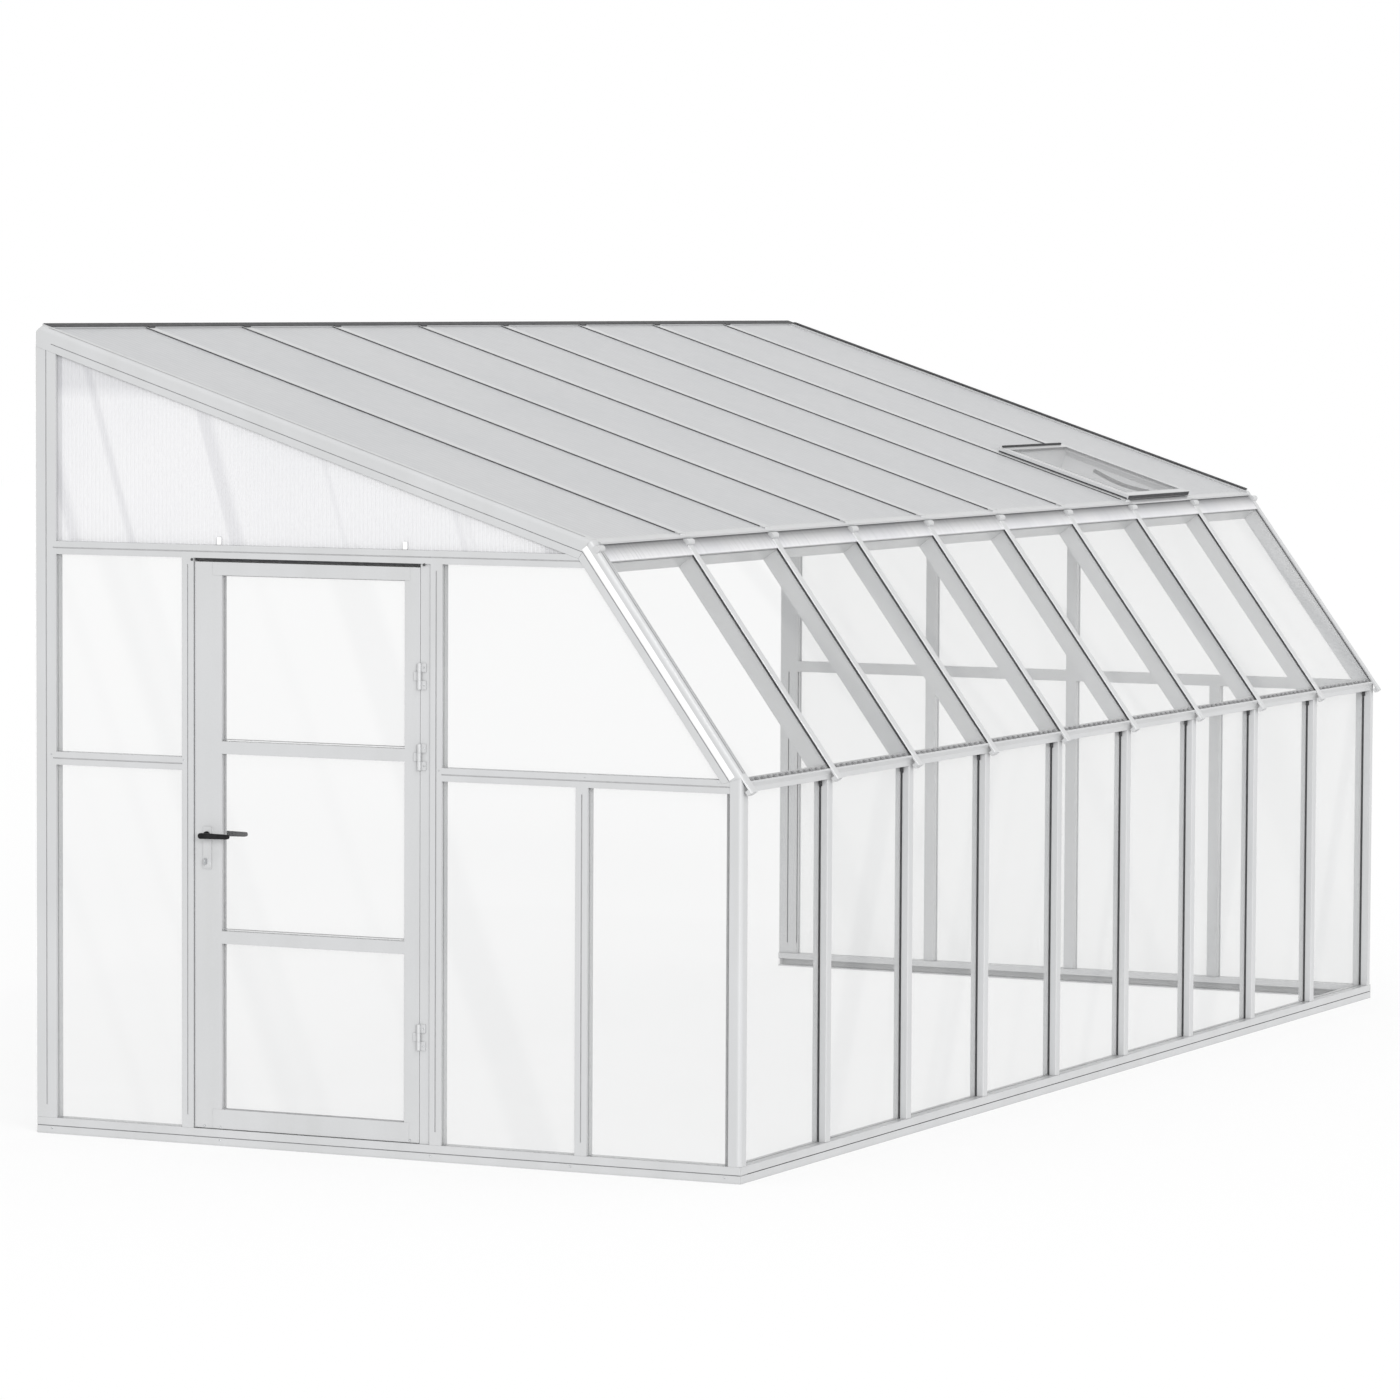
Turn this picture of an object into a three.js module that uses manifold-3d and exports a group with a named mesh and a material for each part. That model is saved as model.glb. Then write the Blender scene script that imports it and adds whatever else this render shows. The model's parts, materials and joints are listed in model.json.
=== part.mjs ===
// Lean-to greenhouse: aluminium bars, clear glass walls and a twin-wall roof, with a
// hinged door in the near gable and one opening vent in the roof. Millimetres, +Z up.
// X runs along the house wall, -Y is the garden side and +Y is the wall side.
import * as THREE from 'three';
import { mergeVertices } from 'three/addons/utils/BufferGeometryUtils.js';
import Module from 'manifold-3d';

// Whole building
const bay = 690;
const bayCount = 9;
const depth = 2760;
const kneeHeight = 1368;
const eaveReach = 572;
const eaveHeight = 2150;
const ridgeHeight = 2863;

// Fits shared by every joint between pieces
const fit = 0.3;
const weld = 1;
const overrun = 5;
const bite = 12;
const runningGap = 3;

// Sheets
const glass = 4;
const roofSheet = 16;
const gableSheet = 10;
const sheetSkin = 1.2;
const fluteCount = 18;

// Bars of the long side: cap outside the glass, web between the panes, box inside
const barWidth = 40;
const barDepth = 57;
const facetBarDepth = 76;
const webWidth = 15;
const barBoxWidth = 34;
const softEdge = 3;
const postSetback = 3;
const wallGlassDepth = 34;
const slopeGlassDepth = 8;
const roofCapWidth = 46;
const roofCapDepth = 5;
const tipLength = 60;
const tipBlockLength = 16;
const tipBlockDepth = 22;
const knuckleRadius = 13;
const knuckleWidth = 50;
const knuckleInset = 1;
const knuckleDrop = 38;

// Bars that close each end
const endBarWidth = 44;
const endBarDepth = 65;
const endCapDepth = 47;
const facetSeamAt = 48;
const gableCap = 12;
const cornerRadius = 16;
const seamWidth = 2.5;
const seamDepth = 2;
const ridgeChamfer = 28;

// Base rail
const baseHeight = 57;
const baseDepth = 57;
const baseWall = 5;
const baseBoxHeight = 24;
const baseSeam = 3;
const baseJointBays = 3;

// Beams along the long side
const kneeSkirt = 12;
const kneeFaceHeight = 17;
const kneeLipDepth = 5;
const kneeLipLow = 21;
const kneeLipHigh = 14;
const kneePaneDrop = 18;
const kneeCover = 6;
const eaveBeamHeight = 90;
const eaveLipHeight = 25;
const eaveLipDepth = 3;
const fasciaDepth = 13;
const dripReach = 20;
const dripThickness = 7;
const dripBack = 18;
const wallPlateFlange = 15;
const wallPlateWeb = 12;

// Gable members
const housePostWidth = 80;
const memberWidth = 46;
const grooveWidth = 4;
const grooveDepth = 3;
const topRailDrop = 73;
const midRailDrop = 9;
const nearPostCount = 3;
const nearPaneCount = 3;
const farBayCount = 4;
const shortPostNumber = 1;

// Door
const doorOpening = 936;
const jambWidth = 42;
const stopWidth = 12;
const stopDepth = 7;
const leafSetback = 6;
const leafThickness = 34;
const headGap = 13;
const lockStile = 108;
const hingeStile = 60;
const doorTopRail = 46;
const doorBottomRail = 68;
const trimOverlap = 20;
const trimOverlapLock = 36;
const crossRail = 44;
const crossRailShares = [0.339, 0.674];
const hingeShares = [0.185, 0.672, 0.812];
const hingeRadius = 7;
const hingePinRadius = 3.5;
const knuckleLength = 30;
const hingeLeafWidth = 24;
const hingeLeafThickness = 3;

// Lever handle, lock and bolt
const spindleHeight = 1088;
const spindleInset = 54;
const spindleRadius = 5;
const roseRadius = 13;
const roseThickness = 7;
const leverLength = 112;
const leverHeight = 20;
const leverTipRadius = 8;
const leverNeckRadius = 8.5;
const leverThickness = 11;
const leverStandoff = 52;
const plateThickness = 3;
const plateWidth = 34;
const plateReach = 26;
const lockDrop = 92;
const lockRadius = 8.5;
const keyBowRadius = 12;
const keyThickness = 3;
const keyReach = 24;
const boltLength = 34;
const boltHeight = 20;
const boltThickness = 12;
const boltThrow = 14;
const boltSetback = 1;

// Roof vent
const ventBay = 7;
const ventFrom = 4;
const ventLength = 604;
const ventBar = 32;
const ventHeight = 18;
const ventSideGap = 6;
const ventLift = 1;
const curbBar = 30;
const sillBar = 14;
const ventHingeSetback = 9;
const ventHingeLift = 11;
const ventHingeLength = 26;
const stayLength = 270;
const stayWidth = 12;
const stayDrop = 2;
const stayInset = 30;
const stayThickness = 4;
const staySag = 14;
const stayPinRadius = 3.5;
const stayShoulder = 1;
const stayHoleShares = [0.22, 0.44, 0.67, 0.89];
const stayBayShare = 0.62;
const ventHingeShares = [0.2, 0.8];

const arcSteps = 12;
const cornerSteps = 5;
const fullTurn = 2 * Math.PI;

// Derived planes and positions, measured from the near front lower corner
const overallLength = bayCount * bay + endBarWidth;
const glassSlot = glass + 2 * fit;
const roofSlot = roofSheet + 2 * fit;
const gableSlot = gableSheet + 2 * fit;
const line = (index) => endBarWidth / 2 + index * bay;
const topRailHeight = eaveHeight - topRailDrop;

const slopeAngle = Math.atan2(eaveHeight - kneeHeight, eaveReach);
const roofAngle = Math.atan2(ridgeHeight - eaveHeight, depth - eaveReach);
const kneeMitre = Math.tan((Math.PI / 2 - slopeAngle) / 2);
const eaveMitre = Math.tan((slopeAngle - roofAngle) / 2);
const slopeLength = Math.hypot(eaveReach, eaveHeight - kneeHeight);
const roofLength = Math.hypot(depth - eaveReach, ridgeHeight - eaveHeight);
const wallMitre = Math.tan(roofAngle);
const midRailHeight = kneeHeight - facetBarDepth * kneeMitre - midRailDrop;

// A facet is one plane of the long side; its own axes are along X, inward and uphill
const facet = (y, z, angle) => ({ y, z, angle });
const front = facet(0, 0, Math.PI / 2);
const slope = facet(0, kneeHeight, slopeAngle);
const roof = facet(eaveReach, eaveHeight, roofAngle);

// From a facet's inward and uphill measures to the cross section of the building
function sectionPoint(plane, inward, uphill) {
  const sine = Math.sin(plane.angle);
  const cosine = Math.cos(plane.angle);
  return [plane.y + uphill * cosine + inward * sine, plane.z + uphill * sine - inward * cosine];
}

function facetPoint(plane, y, z) {
  const sine = Math.sin(plane.angle);
  const cosine = Math.cos(plane.angle);
  const [dy, dz] = [y - plane.y, z - plane.z];
  return [dy * sine - dz * cosine, dy * cosine + dz * sine];
}

// A point given on one facet, in the measures of another
function carry(from, to, inward, uphill) {
  return facetPoint(to, ...sectionPoint(from, inward, uphill));
}

// Where two lines, each parallel to a facet at its own depth, cross in the cross section
function meet(planeA, depthA, planeB, depthB) {
  const [ay, az] = sectionPoint(planeA, depthA, 0);
  const [by, bz] = sectionPoint(planeB, depthB, 0);
  const [ca, sa] = [Math.cos(planeA.angle), Math.sin(planeA.angle)];
  const [cb, sb] = [Math.cos(planeB.angle), Math.sin(planeB.angle)];
  const along = ((by - ay) * sb - (bz - az) * cb) / (ca * sb - sa * cb);
  return [ay + along * ca, az + along * sa];
}

// Where a line parallel to a facet crosses the upright at y
function meetUpright(plane, inward, y) {
  const [py, pz] = sectionPoint(plane, inward, 0);
  return [y, pz + (y - py) * Math.tan(plane.angle)];
}

// Solids
const manifold = await Module();
manifold.setup();

function solidOf(geometry) {
  const bare = geometry.clone();
  bare.deleteAttribute('normal');
  bare.deleteAttribute('uv');
  const merged = mergeVertices(bare, fit / 1000);
  const vertProperties = merged.getAttribute('position').array;
  const triVerts = new Uint32Array(merged.index.array);
  return new manifold.Manifold(new manifold.Mesh({ numProp: 3, vertProperties, triVerts }));
}

function geometryOf(solid) {
  const { vertProperties, triVerts } = solid.getMesh();
  const geometry = new THREE.BufferGeometry();
  geometry.setAttribute('position', new THREE.BufferAttribute(vertProperties, 3));
  geometry.setIndex(new THREE.BufferAttribute(triVerts, 1));
  const flat = geometry.toNonIndexed();
  flat.computeVertexNormals();
  return flat;
}

const join = (solids) => solids.reduce((whole, piece) => whole.add(piece));
const cut = (solid, cutters) => cutters.reduce((rest, cutter) => rest.subtract(cutter), solid);

// A prism whose two ends are placed by a function of the outline's own measures
function prism(shape, place) {
  const geometry = new THREE.ExtrudeGeometry(shape, {
    depth: 1,
    bevelEnabled: false,
    curveSegments: arcSteps,
  });
  const spots = geometry.getAttribute('position');
  for (let i = 0; i < spots.count; i += 1) {
    const [x, y, z] = place(spots.getX(i), spots.getY(i), spots.getZ(i) > 0);
    spots.setXYZ(i, x, y, z);
  }
  return solidOf(geometry);
}

function shapeOf(outline) {
  if (outline instanceof THREE.Shape) return outline;
  return new THREE.Shape(outline.map(([a, b]) => new THREE.Vector2(a, b)));
}

// Outline in (y, z), run along X; a slant moves an end by the outline's y
function alongX(outline, from, to, slantFrom = 0, slantTo = 0) {
  return prism(shapeOf(outline), (a, b, far) => [far ? to + slantTo * a : from + slantFrom * a, a, b]);
}

// Outline in (x, y), run along Z; a slant moves an end by the outline's y
function alongZ(outline, from, to, slantFrom = 0, slantTo = 0) {
  return prism(shapeOf(outline), (a, b, far) => [a, b, far ? to + slantTo * b : from + slantFrom * b]);
}

// Outline in (x, z), run along Y
function alongY(outline, from, to) {
  return prism(shapeOf(outline), (a, b, far) => [a, far ? from : to, b]);
}

function rectangle(lowA, lowB, highA, highB) {
  return [[lowA, lowB], [highA, lowB], [highA, highB], [lowA, highB]];
}

function block(lowX, lowY, lowZ, highX, highY, highZ) {
  return alongX(rectangle(lowY, lowZ, highY, highZ), lowX, highX);
}

function disc(a, b, radius, steps = 2 * arcSteps) {
  const outline = [];
  for (let i = 0; i < steps; i += 1) {
    const turn = (fullTurn * i) / steps;
    outline.push([a + radius * Math.cos(turn), b + radius * Math.sin(turn)]);
  }
  return outline;
}

// Materials
const paint = (color, roughness, metalness) => ({ color, roughness, metalness });
const finishes = {
  frame: paint(0xd9dadb, 0.42, 0.35),
  glass: paint(0xe8f0f2, 0.05, 0),
  sheet: paint(0xd6d8da, 0.35, 0),
  black: paint(0x17181a, 0.4, 0.2),
  steel: paint(0x9a9da1, 0.35, 0.8),
};

function addMesh(group, name, solid, finish) {
  const look = finishes[finish];
  const material = new THREE.MeshStandardMaterial({ ...look, name: finish });
  if (finish === 'glass') {
    material.transparent = true;
    material.opacity = 0.3;
  }
  const mesh = new THREE.Mesh(geometryOf(solid), material);
  mesh.name = name;
  group.add(mesh);
}

// Base rail: an open channel with a glazing slot along its top and a seam along its face
function baseOutline(slotAt) {
  const shelf = baseHeight - baseBoxHeight;
  const seamAt = baseHeight / 2;
  return [
    [0, 0],
    [baseDepth, 0],
    [baseDepth, baseWall],
    [baseWall + baseSeam, baseWall],
    [baseWall + baseSeam, shelf],
    [baseDepth, shelf],
    [baseDepth, baseHeight],
    [slotAt + glassSlot, baseHeight],
    [slotAt + glassSlot, baseHeight - bite],
    [slotAt, baseHeight - bite],
    [slotAt, baseHeight],
    [0, baseHeight],
    [0, seamAt + baseSeam / 2],
    [baseSeam, seamAt + baseSeam / 2],
    [baseSeam, seamAt - baseSeam / 2],
    [0, seamAt - baseSeam / 2],
  ];
}

function addFrontBase(group) {
  const names = ['near', 'middle', 'far'];
  const outline = baseOutline(wallGlassDepth);
  names.forEach((name, index) => {
    const first = index === 0;
    const last = index === names.length - 1;
    const from = first ? fit : line(index * baseJointBays) + fit / 2;
    const to = last ? overallLength - fit : line((index + 1) * baseJointBays) - fit / 2;
    addMesh(group, `base_front_${name}`, alongX(outline, from, to, first ? 1 : 0, last ? -1 : 0), 'frame');
  });
}

// The gable base meets the front base at a mitre and runs back to the wall
function gableBase(face, inward) {
  const shape = shapeOf(baseOutline(gableCap));
  const rail = prism(shape, (a, b, far) => {
    const atFront = inward > 0 ? far : !far;
    return [face + inward * a, atFront ? a : depth, b];
  });
  const slot = rectangle(wallGlassDepth, baseHeight - bite, wallGlassDepth + glassSlot, baseHeight + overrun);
  return cut(rail, [slab(slot, face, inward, [endBarWidth - bite, baseDepth + overrun])]);
}

// Symmetric glazing bar seen along its run: cap, web and box, from the depths given
function barOutline(capFrom, glassAt, slot, capWidth) {
  const [cap, web, box] = [capWidth / 2, webWidth / 2, barBoxWidth / 2];
  const right = [
    [cap - softEdge, capFrom],
    [cap, capFrom + softEdge],
    [cap, glassAt],
    [web, glassAt],
    [web, glassAt + slot],
    [box, glassAt + slot],
    [box, barDepth],
  ];
  const left = right.map(([a, b]) => [-a, b]).reverse();
  return [...right, ...left];
}

// Bar that closes an end: a side slot for the long side and a slot below for the gable
function endOutline(glassAt, slot, total, capDepth, gableSlotWidth, interior) {
  const half = endBarWidth / 2;
  const gableAt = -half + gableCap;
  const corner = Array.from({ length: cornerSteps + 1 }, (unused, i) => {
    const turn = fullTurn / 2 + (fullTurn * i) / (4 * cornerSteps);
    const [a, b] = [cornerRadius * Math.cos(turn), cornerRadius * Math.sin(turn)];
    return [cornerRadius - half + a, cornerRadius + b];
  });
  const outline = [
    [half, 0],
    [half, glassAt],
    [half - bite, glassAt],
    [half - bite, glassAt + slot],
    [half, glassAt + slot],
    [half, total],
    [gableAt + gableSlotWidth, total],
    [gableAt + gableSlotWidth, capDepth - bite],
    [gableAt, capDepth - bite],
    [gableAt, capDepth],
    [-half, capDepth],
    ...corner,
  ];
  return outline.map(([a, b]) => [a * interior, b]);
}

const shiftX = (outline, x) => outline.map(([a, b]) => [a + x, b]);
const interiorOf = (index) => (index === 0 ? 1 : -1);
const isEnd = (index) => index === 0 || index === bayCount;
const lineNumbers = Array.from({ length: bayCount + 1 }, (unused, index) => index);

const onSlope = ([inward, uphill]) => sectionPoint(slope, inward, uphill);

// Room that the caps of the sloping bars need where they run down over the knee beam
function capPaths() {
  const tipTop = tipBlockLength - tipLength + fit;
  const under = rectangle(-endBarDepth, -bay, slopeGlassDepth + fit, slopeLength).map(onSlope);
  const tip = rectangle(-endBarDepth, -bay, tipBlockDepth + fit, tipTop).map(onSlope);
  return lineNumbers.flatMap((index) => {
    const half = (isEnd(index) ? endBarWidth : barWidth) / 2 + fit;
    return [under, tip].map((outline) => alongX(outline, line(index) - half, line(index) + half));
  });
}

// Room for the lower edges of the slope panes, which stand in the knee beam's outer lip
function slopePaneSeat() {
  const back = slopeGlassDepth + glassSlot;
  const seat = rectangle(slopeGlassDepth, -kneePaneDrop, back, slopeLength).map(onSlope);
  return alongX(seat, endBarWidth - bite, overallLength - endBarWidth + bite);
}

const [, kneeInnerZ] = onSlope([facetBarDepth, kneeCover]);
const kneeBottom = kneeInnerZ - kneeSkirt;
const kneePaneTop = kneeBottom + bite;

// Knee beam: a slot over the wall glass, an overhanging face, and a lip under the slope glass
function kneeBeam() {
  const back = wallGlassDepth + glassSlot;
  const overhang = [
    [facetBarDepth, kneeCover],
    [slopeGlassDepth + glassSlot, kneeCover],
    [slopeGlassDepth + glassSlot, -kneePaneDrop],
    [slopeGlassDepth, -kneePaneDrop],
    [slopeGlassDepth, -kneeLipHigh],
    [kneeLipDepth, -kneeLipHigh],
    [kneeLipDepth, -kneeLipLow],
  ].map(onSlope);
  const foot = [[0, kneeBottom], [barDepth, kneeBottom]];
  const brow = [0, kneeBottom + kneeFaceHeight];
  const wallSlot = rectangle(wallGlassDepth, kneeBottom - bite, back, kneePaneTop);
  const inset = endBarWidth;
  const beam = join([
    alongX([...foot, ...overhang, brow], inset + fit, overallLength - inset - fit),
    alongX([...foot, brow], inset - weld, overallLength - inset + weld),
  ]);
  const reach = inset - overrun;
  return cut(beam, [alongX(wallSlot, reach, overallLength - reach)]);
}

function frontFrame() {
  const postTop = kneeBottom + weld;
  const middle = barOutline(postSetback, wallGlassDepth, glassSlot, barWidth);
  const posts = lineNumbers.map((index) => {
    if (!isEnd(index)) return alongZ(shiftX(middle, line(index)), baseHeight + fit, postTop);
    const outline = endOutline(
      wallGlassDepth,
      glassSlot,
      endBarDepth,
      endCapDepth,
      glassSlot,
      interiorOf(index),
    );
    return alongZ(shiftX(outline, line(index)), baseHeight + fit, kneeHeight - fit, 0, -kneeMitre);
  });
  return cut(join([...posts, kneeBeam()]), [...capPaths(), slopePaneSeat()]);
}

// Where the eave beam's shelf ends under the roof sheets, parallel to the mitre at the bend
const sheetBack = roofCapDepth + roofSlot;
const shelfEnd = (inward) => dripBack + bite + (inward - sheetBack) * eaveMitre;

// Eave beam in the slope's measures: fascia, drip nose and the shelf under the roof sheets
function eaveBeam() {
  const bottom = slopeLength - eaveBeamHeight;
  const nose = (inward, uphill) => carry(roof, slope, inward, uphill);
  const lowerHalf = [
    [eaveLipDepth, bottom],
    [slopeGlassDepth, bottom],
    [slopeGlassDepth, bottom + bite],
    [slopeGlassDepth + glassSlot, bottom + bite],
    [slopeGlassDepth + glassSlot, bottom],
    [facetBarDepth, bottom],
    [facetBarDepth, slopeLength - facetBarDepth * eaveMitre - fit],
    [fasciaDepth, slopeLength - fasciaDepth * eaveMitre - fit],
    [fasciaDepth, bottom + eaveLipHeight],
    [eaveLipDepth, bottom + eaveLipHeight],
  ];
  const upperHalf = [
    [facetBarDepth, slopeLength - facetBarDepth * eaveMitre - 2 * fit - weld],
    nose(facetBarDepth, shelfEnd(facetBarDepth)),
    nose(sheetBack, shelfEnd(sheetBack)),
    nose(sheetBack, dripBack),
    nose(roofCapDepth + fit, dripBack),
    nose(roofCapDepth + fit, -dripReach),
    nose(roofCapDepth + dripThickness, -dripReach),
    nose(roofCapDepth + dripThickness, fasciaDepth / 2),
    [fasciaDepth, slopeLength - fasciaDepth * eaveMitre - 2 * fit - weld],
  ];
  const inset = endBarWidth;
  return join([
    alongX(lowerHalf, inset - weld, overallLength - inset + weld),
    alongX(upperHalf, inset + fit, overallLength - inset - fit),
  ]);
}

// The small round knuckle on each bar just below the bend between slope and roof
function knuckleOutline(radius) {
  return disc(knuckleInset, slopeLength - knuckleDrop, radius, 2 * arcSteps);
}

// Bar that closes an end on the slope or the roof: a seam runs along its gable face
function endFacetBar(index, glassAt, slot, gableSlotWidth, run, slants, seamTo) {
  const inward = interiorOf(index);
  const outline = endOutline(glassAt, slot, facetBarDepth, facetBarDepth, gableSlotWidth, inward);
  const bar = alongZ(shiftX(outline, line(index)), ...run, ...slants);
  const face = line(index) - (inward * endBarWidth) / 2;
  const seam = rectangle(facetSeamAt, -bay, facetSeamAt + seamWidth, seamTo);
  return cut(bar, [slab(seam, face, inward, [-overrun, seamDepth])]);
}

function slopeFrame() {
  const [cap, box] = [barWidth / 2, barBoxWidth / 2];
  const capShape = [
    [-cap, softEdge],
    [softEdge - cap, 0],
    [cap - softEdge, 0],
    [cap, softEdge],
    [cap, slopeGlassDepth],
    [-cap, slopeGlassDepth],
  ];
  const boxAt = slopeGlassDepth + glassSlot;
  const boxShape = rectangle(-box, boxAt, box, facetBarDepth);
  const webShape = rectangle(-webWidth / 2, slopeGlassDepth - weld, webWidth / 2, boxAt + weld);
  const blockShape = rectangle(-cap, slopeGlassDepth - weld, cap, tipBlockDepth);
  const endHalf = endBarWidth / 2;
  const bars = lineNumbers.map((index) => {
    const x = line(index);
    const top = slopeLength - fit;
    const tip = alongZ(shiftX(blockShape, x), -tipLength, tipBlockLength - tipLength);
    if (!isEnd(index)) {
      return join([
        tip,
        alongZ(shiftX(capShape, x), -tipLength, top, 0, -eaveMitre),
        alongZ(shiftX(webShape, x), kneeCover + fit, top, 0, -eaveMitre),
        alongZ(shiftX(boxShape, x), kneeCover + fit, top, 0, -eaveMitre),
      ]);
    }
    const outline = endOutline(
      slopeGlassDepth,
      glassSlot,
      facetBarDepth,
      facetBarDepth,
      glassSlot,
      interiorOf(index),
    );
    const skin = block(x - endHalf, 0, -bay, x + endHalf, slopeGlassDepth, slopeLength);
    const slants = [kneeMitre, -eaveMitre];
    return join([
      tip,
      endFacetBar(index, slopeGlassDepth, glassSlot, glassSlot, [0, top], slants, roofLength),
      alongZ(shiftX(outline, x), -tipLength, bite).intersect(skin),
    ]);
  });
  const knuckles = lineNumbers.map((index) => {
    const half = (isEnd(index) ? endBarWidth : knuckleWidth) / 2;
    return alongX(knuckleOutline(knuckleRadius), line(index) - half, line(index) + half);
  });
  return join([...bars, eaveBeam(), ...knuckles]);
}

const wallTop = (inward) => roofLength - inward * wallMitre;

// Wall plate: a channel that holds the upper ends of the roof sheets against the wall
function wallPlate() {
  const front = wallTop(facetBarDepth) - wallPlateFlange;
  const outline = [
    [0, front],
    [roofCapDepth, front],
    [roofCapDepth, wallTop(roofCapDepth) - wallPlateWeb],
    [sheetBack, wallTop(sheetBack) - wallPlateWeb],
    [sheetBack, front],
    [facetBarDepth, front],
    [facetBarDepth, wallTop(facetBarDepth)],
    [0, roofLength],
  ];
  return alongX(outline, endBarWidth - weld, overallLength - endBarWidth + weld);
}

const ventTo = ventFrom + ventLength;

// The two cross bars that trim the hole under the vent: a sill in the place of a sheet's lower
// end, and a head that holds the upper sheet
function ventTrimmers() {
  const [from, to] = [line(ventBay) + webWidth / 2 - weld, line(ventBay + 1) - webWidth / 2 + weld];
  const sillFrom = dripBack + fit;
  const sill = rectangle(0, sillFrom, sheetBack - fit, sillFrom + sillBar);
  const headTop = ventTo + 2 * ventHingeSetback;
  const head = [
    [0, ventTo - curbBar],
    [facetBarDepth, ventTo - curbBar],
    [facetBarDepth, headTop],
    [sheetBack, headTop],
    [sheetBack, headTop - bite],
    [roofCapDepth, headTop - bite],
    [roofCapDepth, headTop],
    [0, headTop],
  ];
  return join([alongX(sill, from, to), alongX(head, from, to)]);
}

// Hinge along Z at (x, y): two fixed knuckles on a pin, and one moving sleeve between them
function hinge(x, y, middle, length) {
  const third = length / 3;
  const bottom = middle - length / 2;
  const knuckle = (radius, index) => {
    const from = bottom + index * third;
    return alongZ(disc(x, y, radius), from + (index === 1 ? fit : 0), from + third - (index === 1 ? fit : 0));
  };
  const pin = alongZ(disc(x, y, hingePinRadius), bottom + weld, bottom + length - weld);
  const bore = alongZ(disc(x, y, hingePinRadius + fit), bottom, bottom + length);
  return {
    fixed: join([knuckle(hingeRadius, 0), knuckle(hingeRadius, 2), pin]),
    moving: cut(knuckle(hingeRadius, 1), [bore]),
    low: bottom,
    third,
  };
}

const ventHingeAt = [-ventHingeLift, ventTo + ventHingeSetback];

function ventHinges() {
  const [from, to] = [line(ventBay), line(ventBay + 1)];
  return ventHingeShares.map((share) => {
    const middle = from + share * (to - from);
    const third = ventHingeLength / 3;
    const [inward, uphill] = ventHingeAt;
    const low = middle - ventHingeLength / 2;
    const knuckle = (index, trim) =>
      alongX(disc(inward, uphill, hingeRadius), low + index * third + trim, low + (index + 1) * third - trim);
    const pin = alongX(disc(inward, uphill, hingePinRadius), low + weld, low + ventHingeLength - weld);
    const bore = alongX(disc(inward, uphill, hingePinRadius + fit), low, low + ventHingeLength);
    const lug = (index) =>
      block(low + index * third, inward, uphill, low + (index + 1) * third, weld, uphill + hingeRadius);
    const strap = block(
      low + third + fit,
      inward - hingeLeafThickness,
      uphill - ventHingeSetback - weld,
      low + 2 * third - fit,
      inward + hingeLeafThickness,
      uphill - hingePinRadius - weld,
    );
    return {
      fixed: join([knuckle(0, 0), knuckle(2, 0), pin, lug(0), lug(2)]),
      moving: join([cut(knuckle(1, fit), [bore]), strap]),
    };
  });
}

// Rafter that closes an end, with a chamfer at its top corner
function endRafter(index) {
  const inward = interiorOf(index);
  const seamTo = roofLength - housePostWidth;
  const run = [fit, roofLength];
  const rafter = endFacetBar(index, roofCapDepth, roofSlot, gableSlot, run, [eaveMitre, -wallMitre], seamTo);
  const face = line(index) - (inward * endBarWidth) / 2;
  const corner = [
    [depth - ridgeChamfer, ridgeHeight],
    [depth + overrun, ridgeHeight - ridgeChamfer - overrun],
    [depth + overrun, ridgeHeight + overrun],
    [depth - ridgeChamfer, ridgeHeight + overrun],
  ].map(([y, z]) => facetPoint(roof, y, z));
  return cut(rafter, [slab(corner, face, inward, [-overrun, endBarWidth + overrun])]);
}

function roofFrame() {
  const half = roofCapWidth / 2;
  const web = webWidth / 2;
  const box = barBoxWidth / 2;
  const capShape = rectangle(-half, 0, half, roofCapDepth);
  const webShape = rectangle(-web, roofCapDepth - weld, web, sheetBack + weld);
  const boxShape = rectangle(-box, sheetBack, box, facetBarDepth);
  const rafters = lineNumbers.map((index) => {
    const x = line(index);
    if (!isEnd(index)) {
      return join([
        alongZ(shiftX(capShape, x), fit, roofLength, eaveMitre, -wallMitre),
        alongZ(shiftX(webShape, x), shelfEnd(0) + fit, roofLength, eaveMitre, -wallMitre),
        alongZ(shiftX(boxShape, x), shelfEnd(0) + fit, roofLength, eaveMitre, -wallMitre),
      ]);
    }
    return endRafter(index);
  });
  const around = knuckleOutline(knuckleRadius + fit).map((point) => carry(slope, roof, ...point));
  const clearing = alongX(around, -overrun, overallLength + overrun);
  const hinges = ventHinges().map((part) => part.fixed);
  return cut(join([...rafters, wallPlate(), ventTrimmers(), ...hinges]), [clearing]);
}

// Panes of the long side, each seated in the slots of its two bars and two rails
function paneReach(index) {
  const left = isEnd(index) ? endBarWidth / 2 - bite : webWidth / 2;
  const right = isEnd(index + 1) ? endBarWidth / 2 - bite : webWidth / 2;
  return [line(index) + left + fit, line(index + 1) - right - fit];
}

function frontPane(index) {
  const [from, to] = paneReach(index);
  const bottom = baseHeight - bite + fit;
  const top = kneePaneTop - fit;
  return alongX(rectangle(wallGlassDepth + fit, bottom, wallGlassDepth + fit + glass, top), from, to);
}

function slopePane(index) {
  const [from, to] = paneReach(index);
  const bottom = fit - kneePaneDrop;
  const top = slopeLength - eaveBeamHeight + bite - fit;
  return alongX(rectangle(slopeGlassDepth + fit, bottom, slopeGlassDepth + fit + glass, top), from, to);
}

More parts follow.
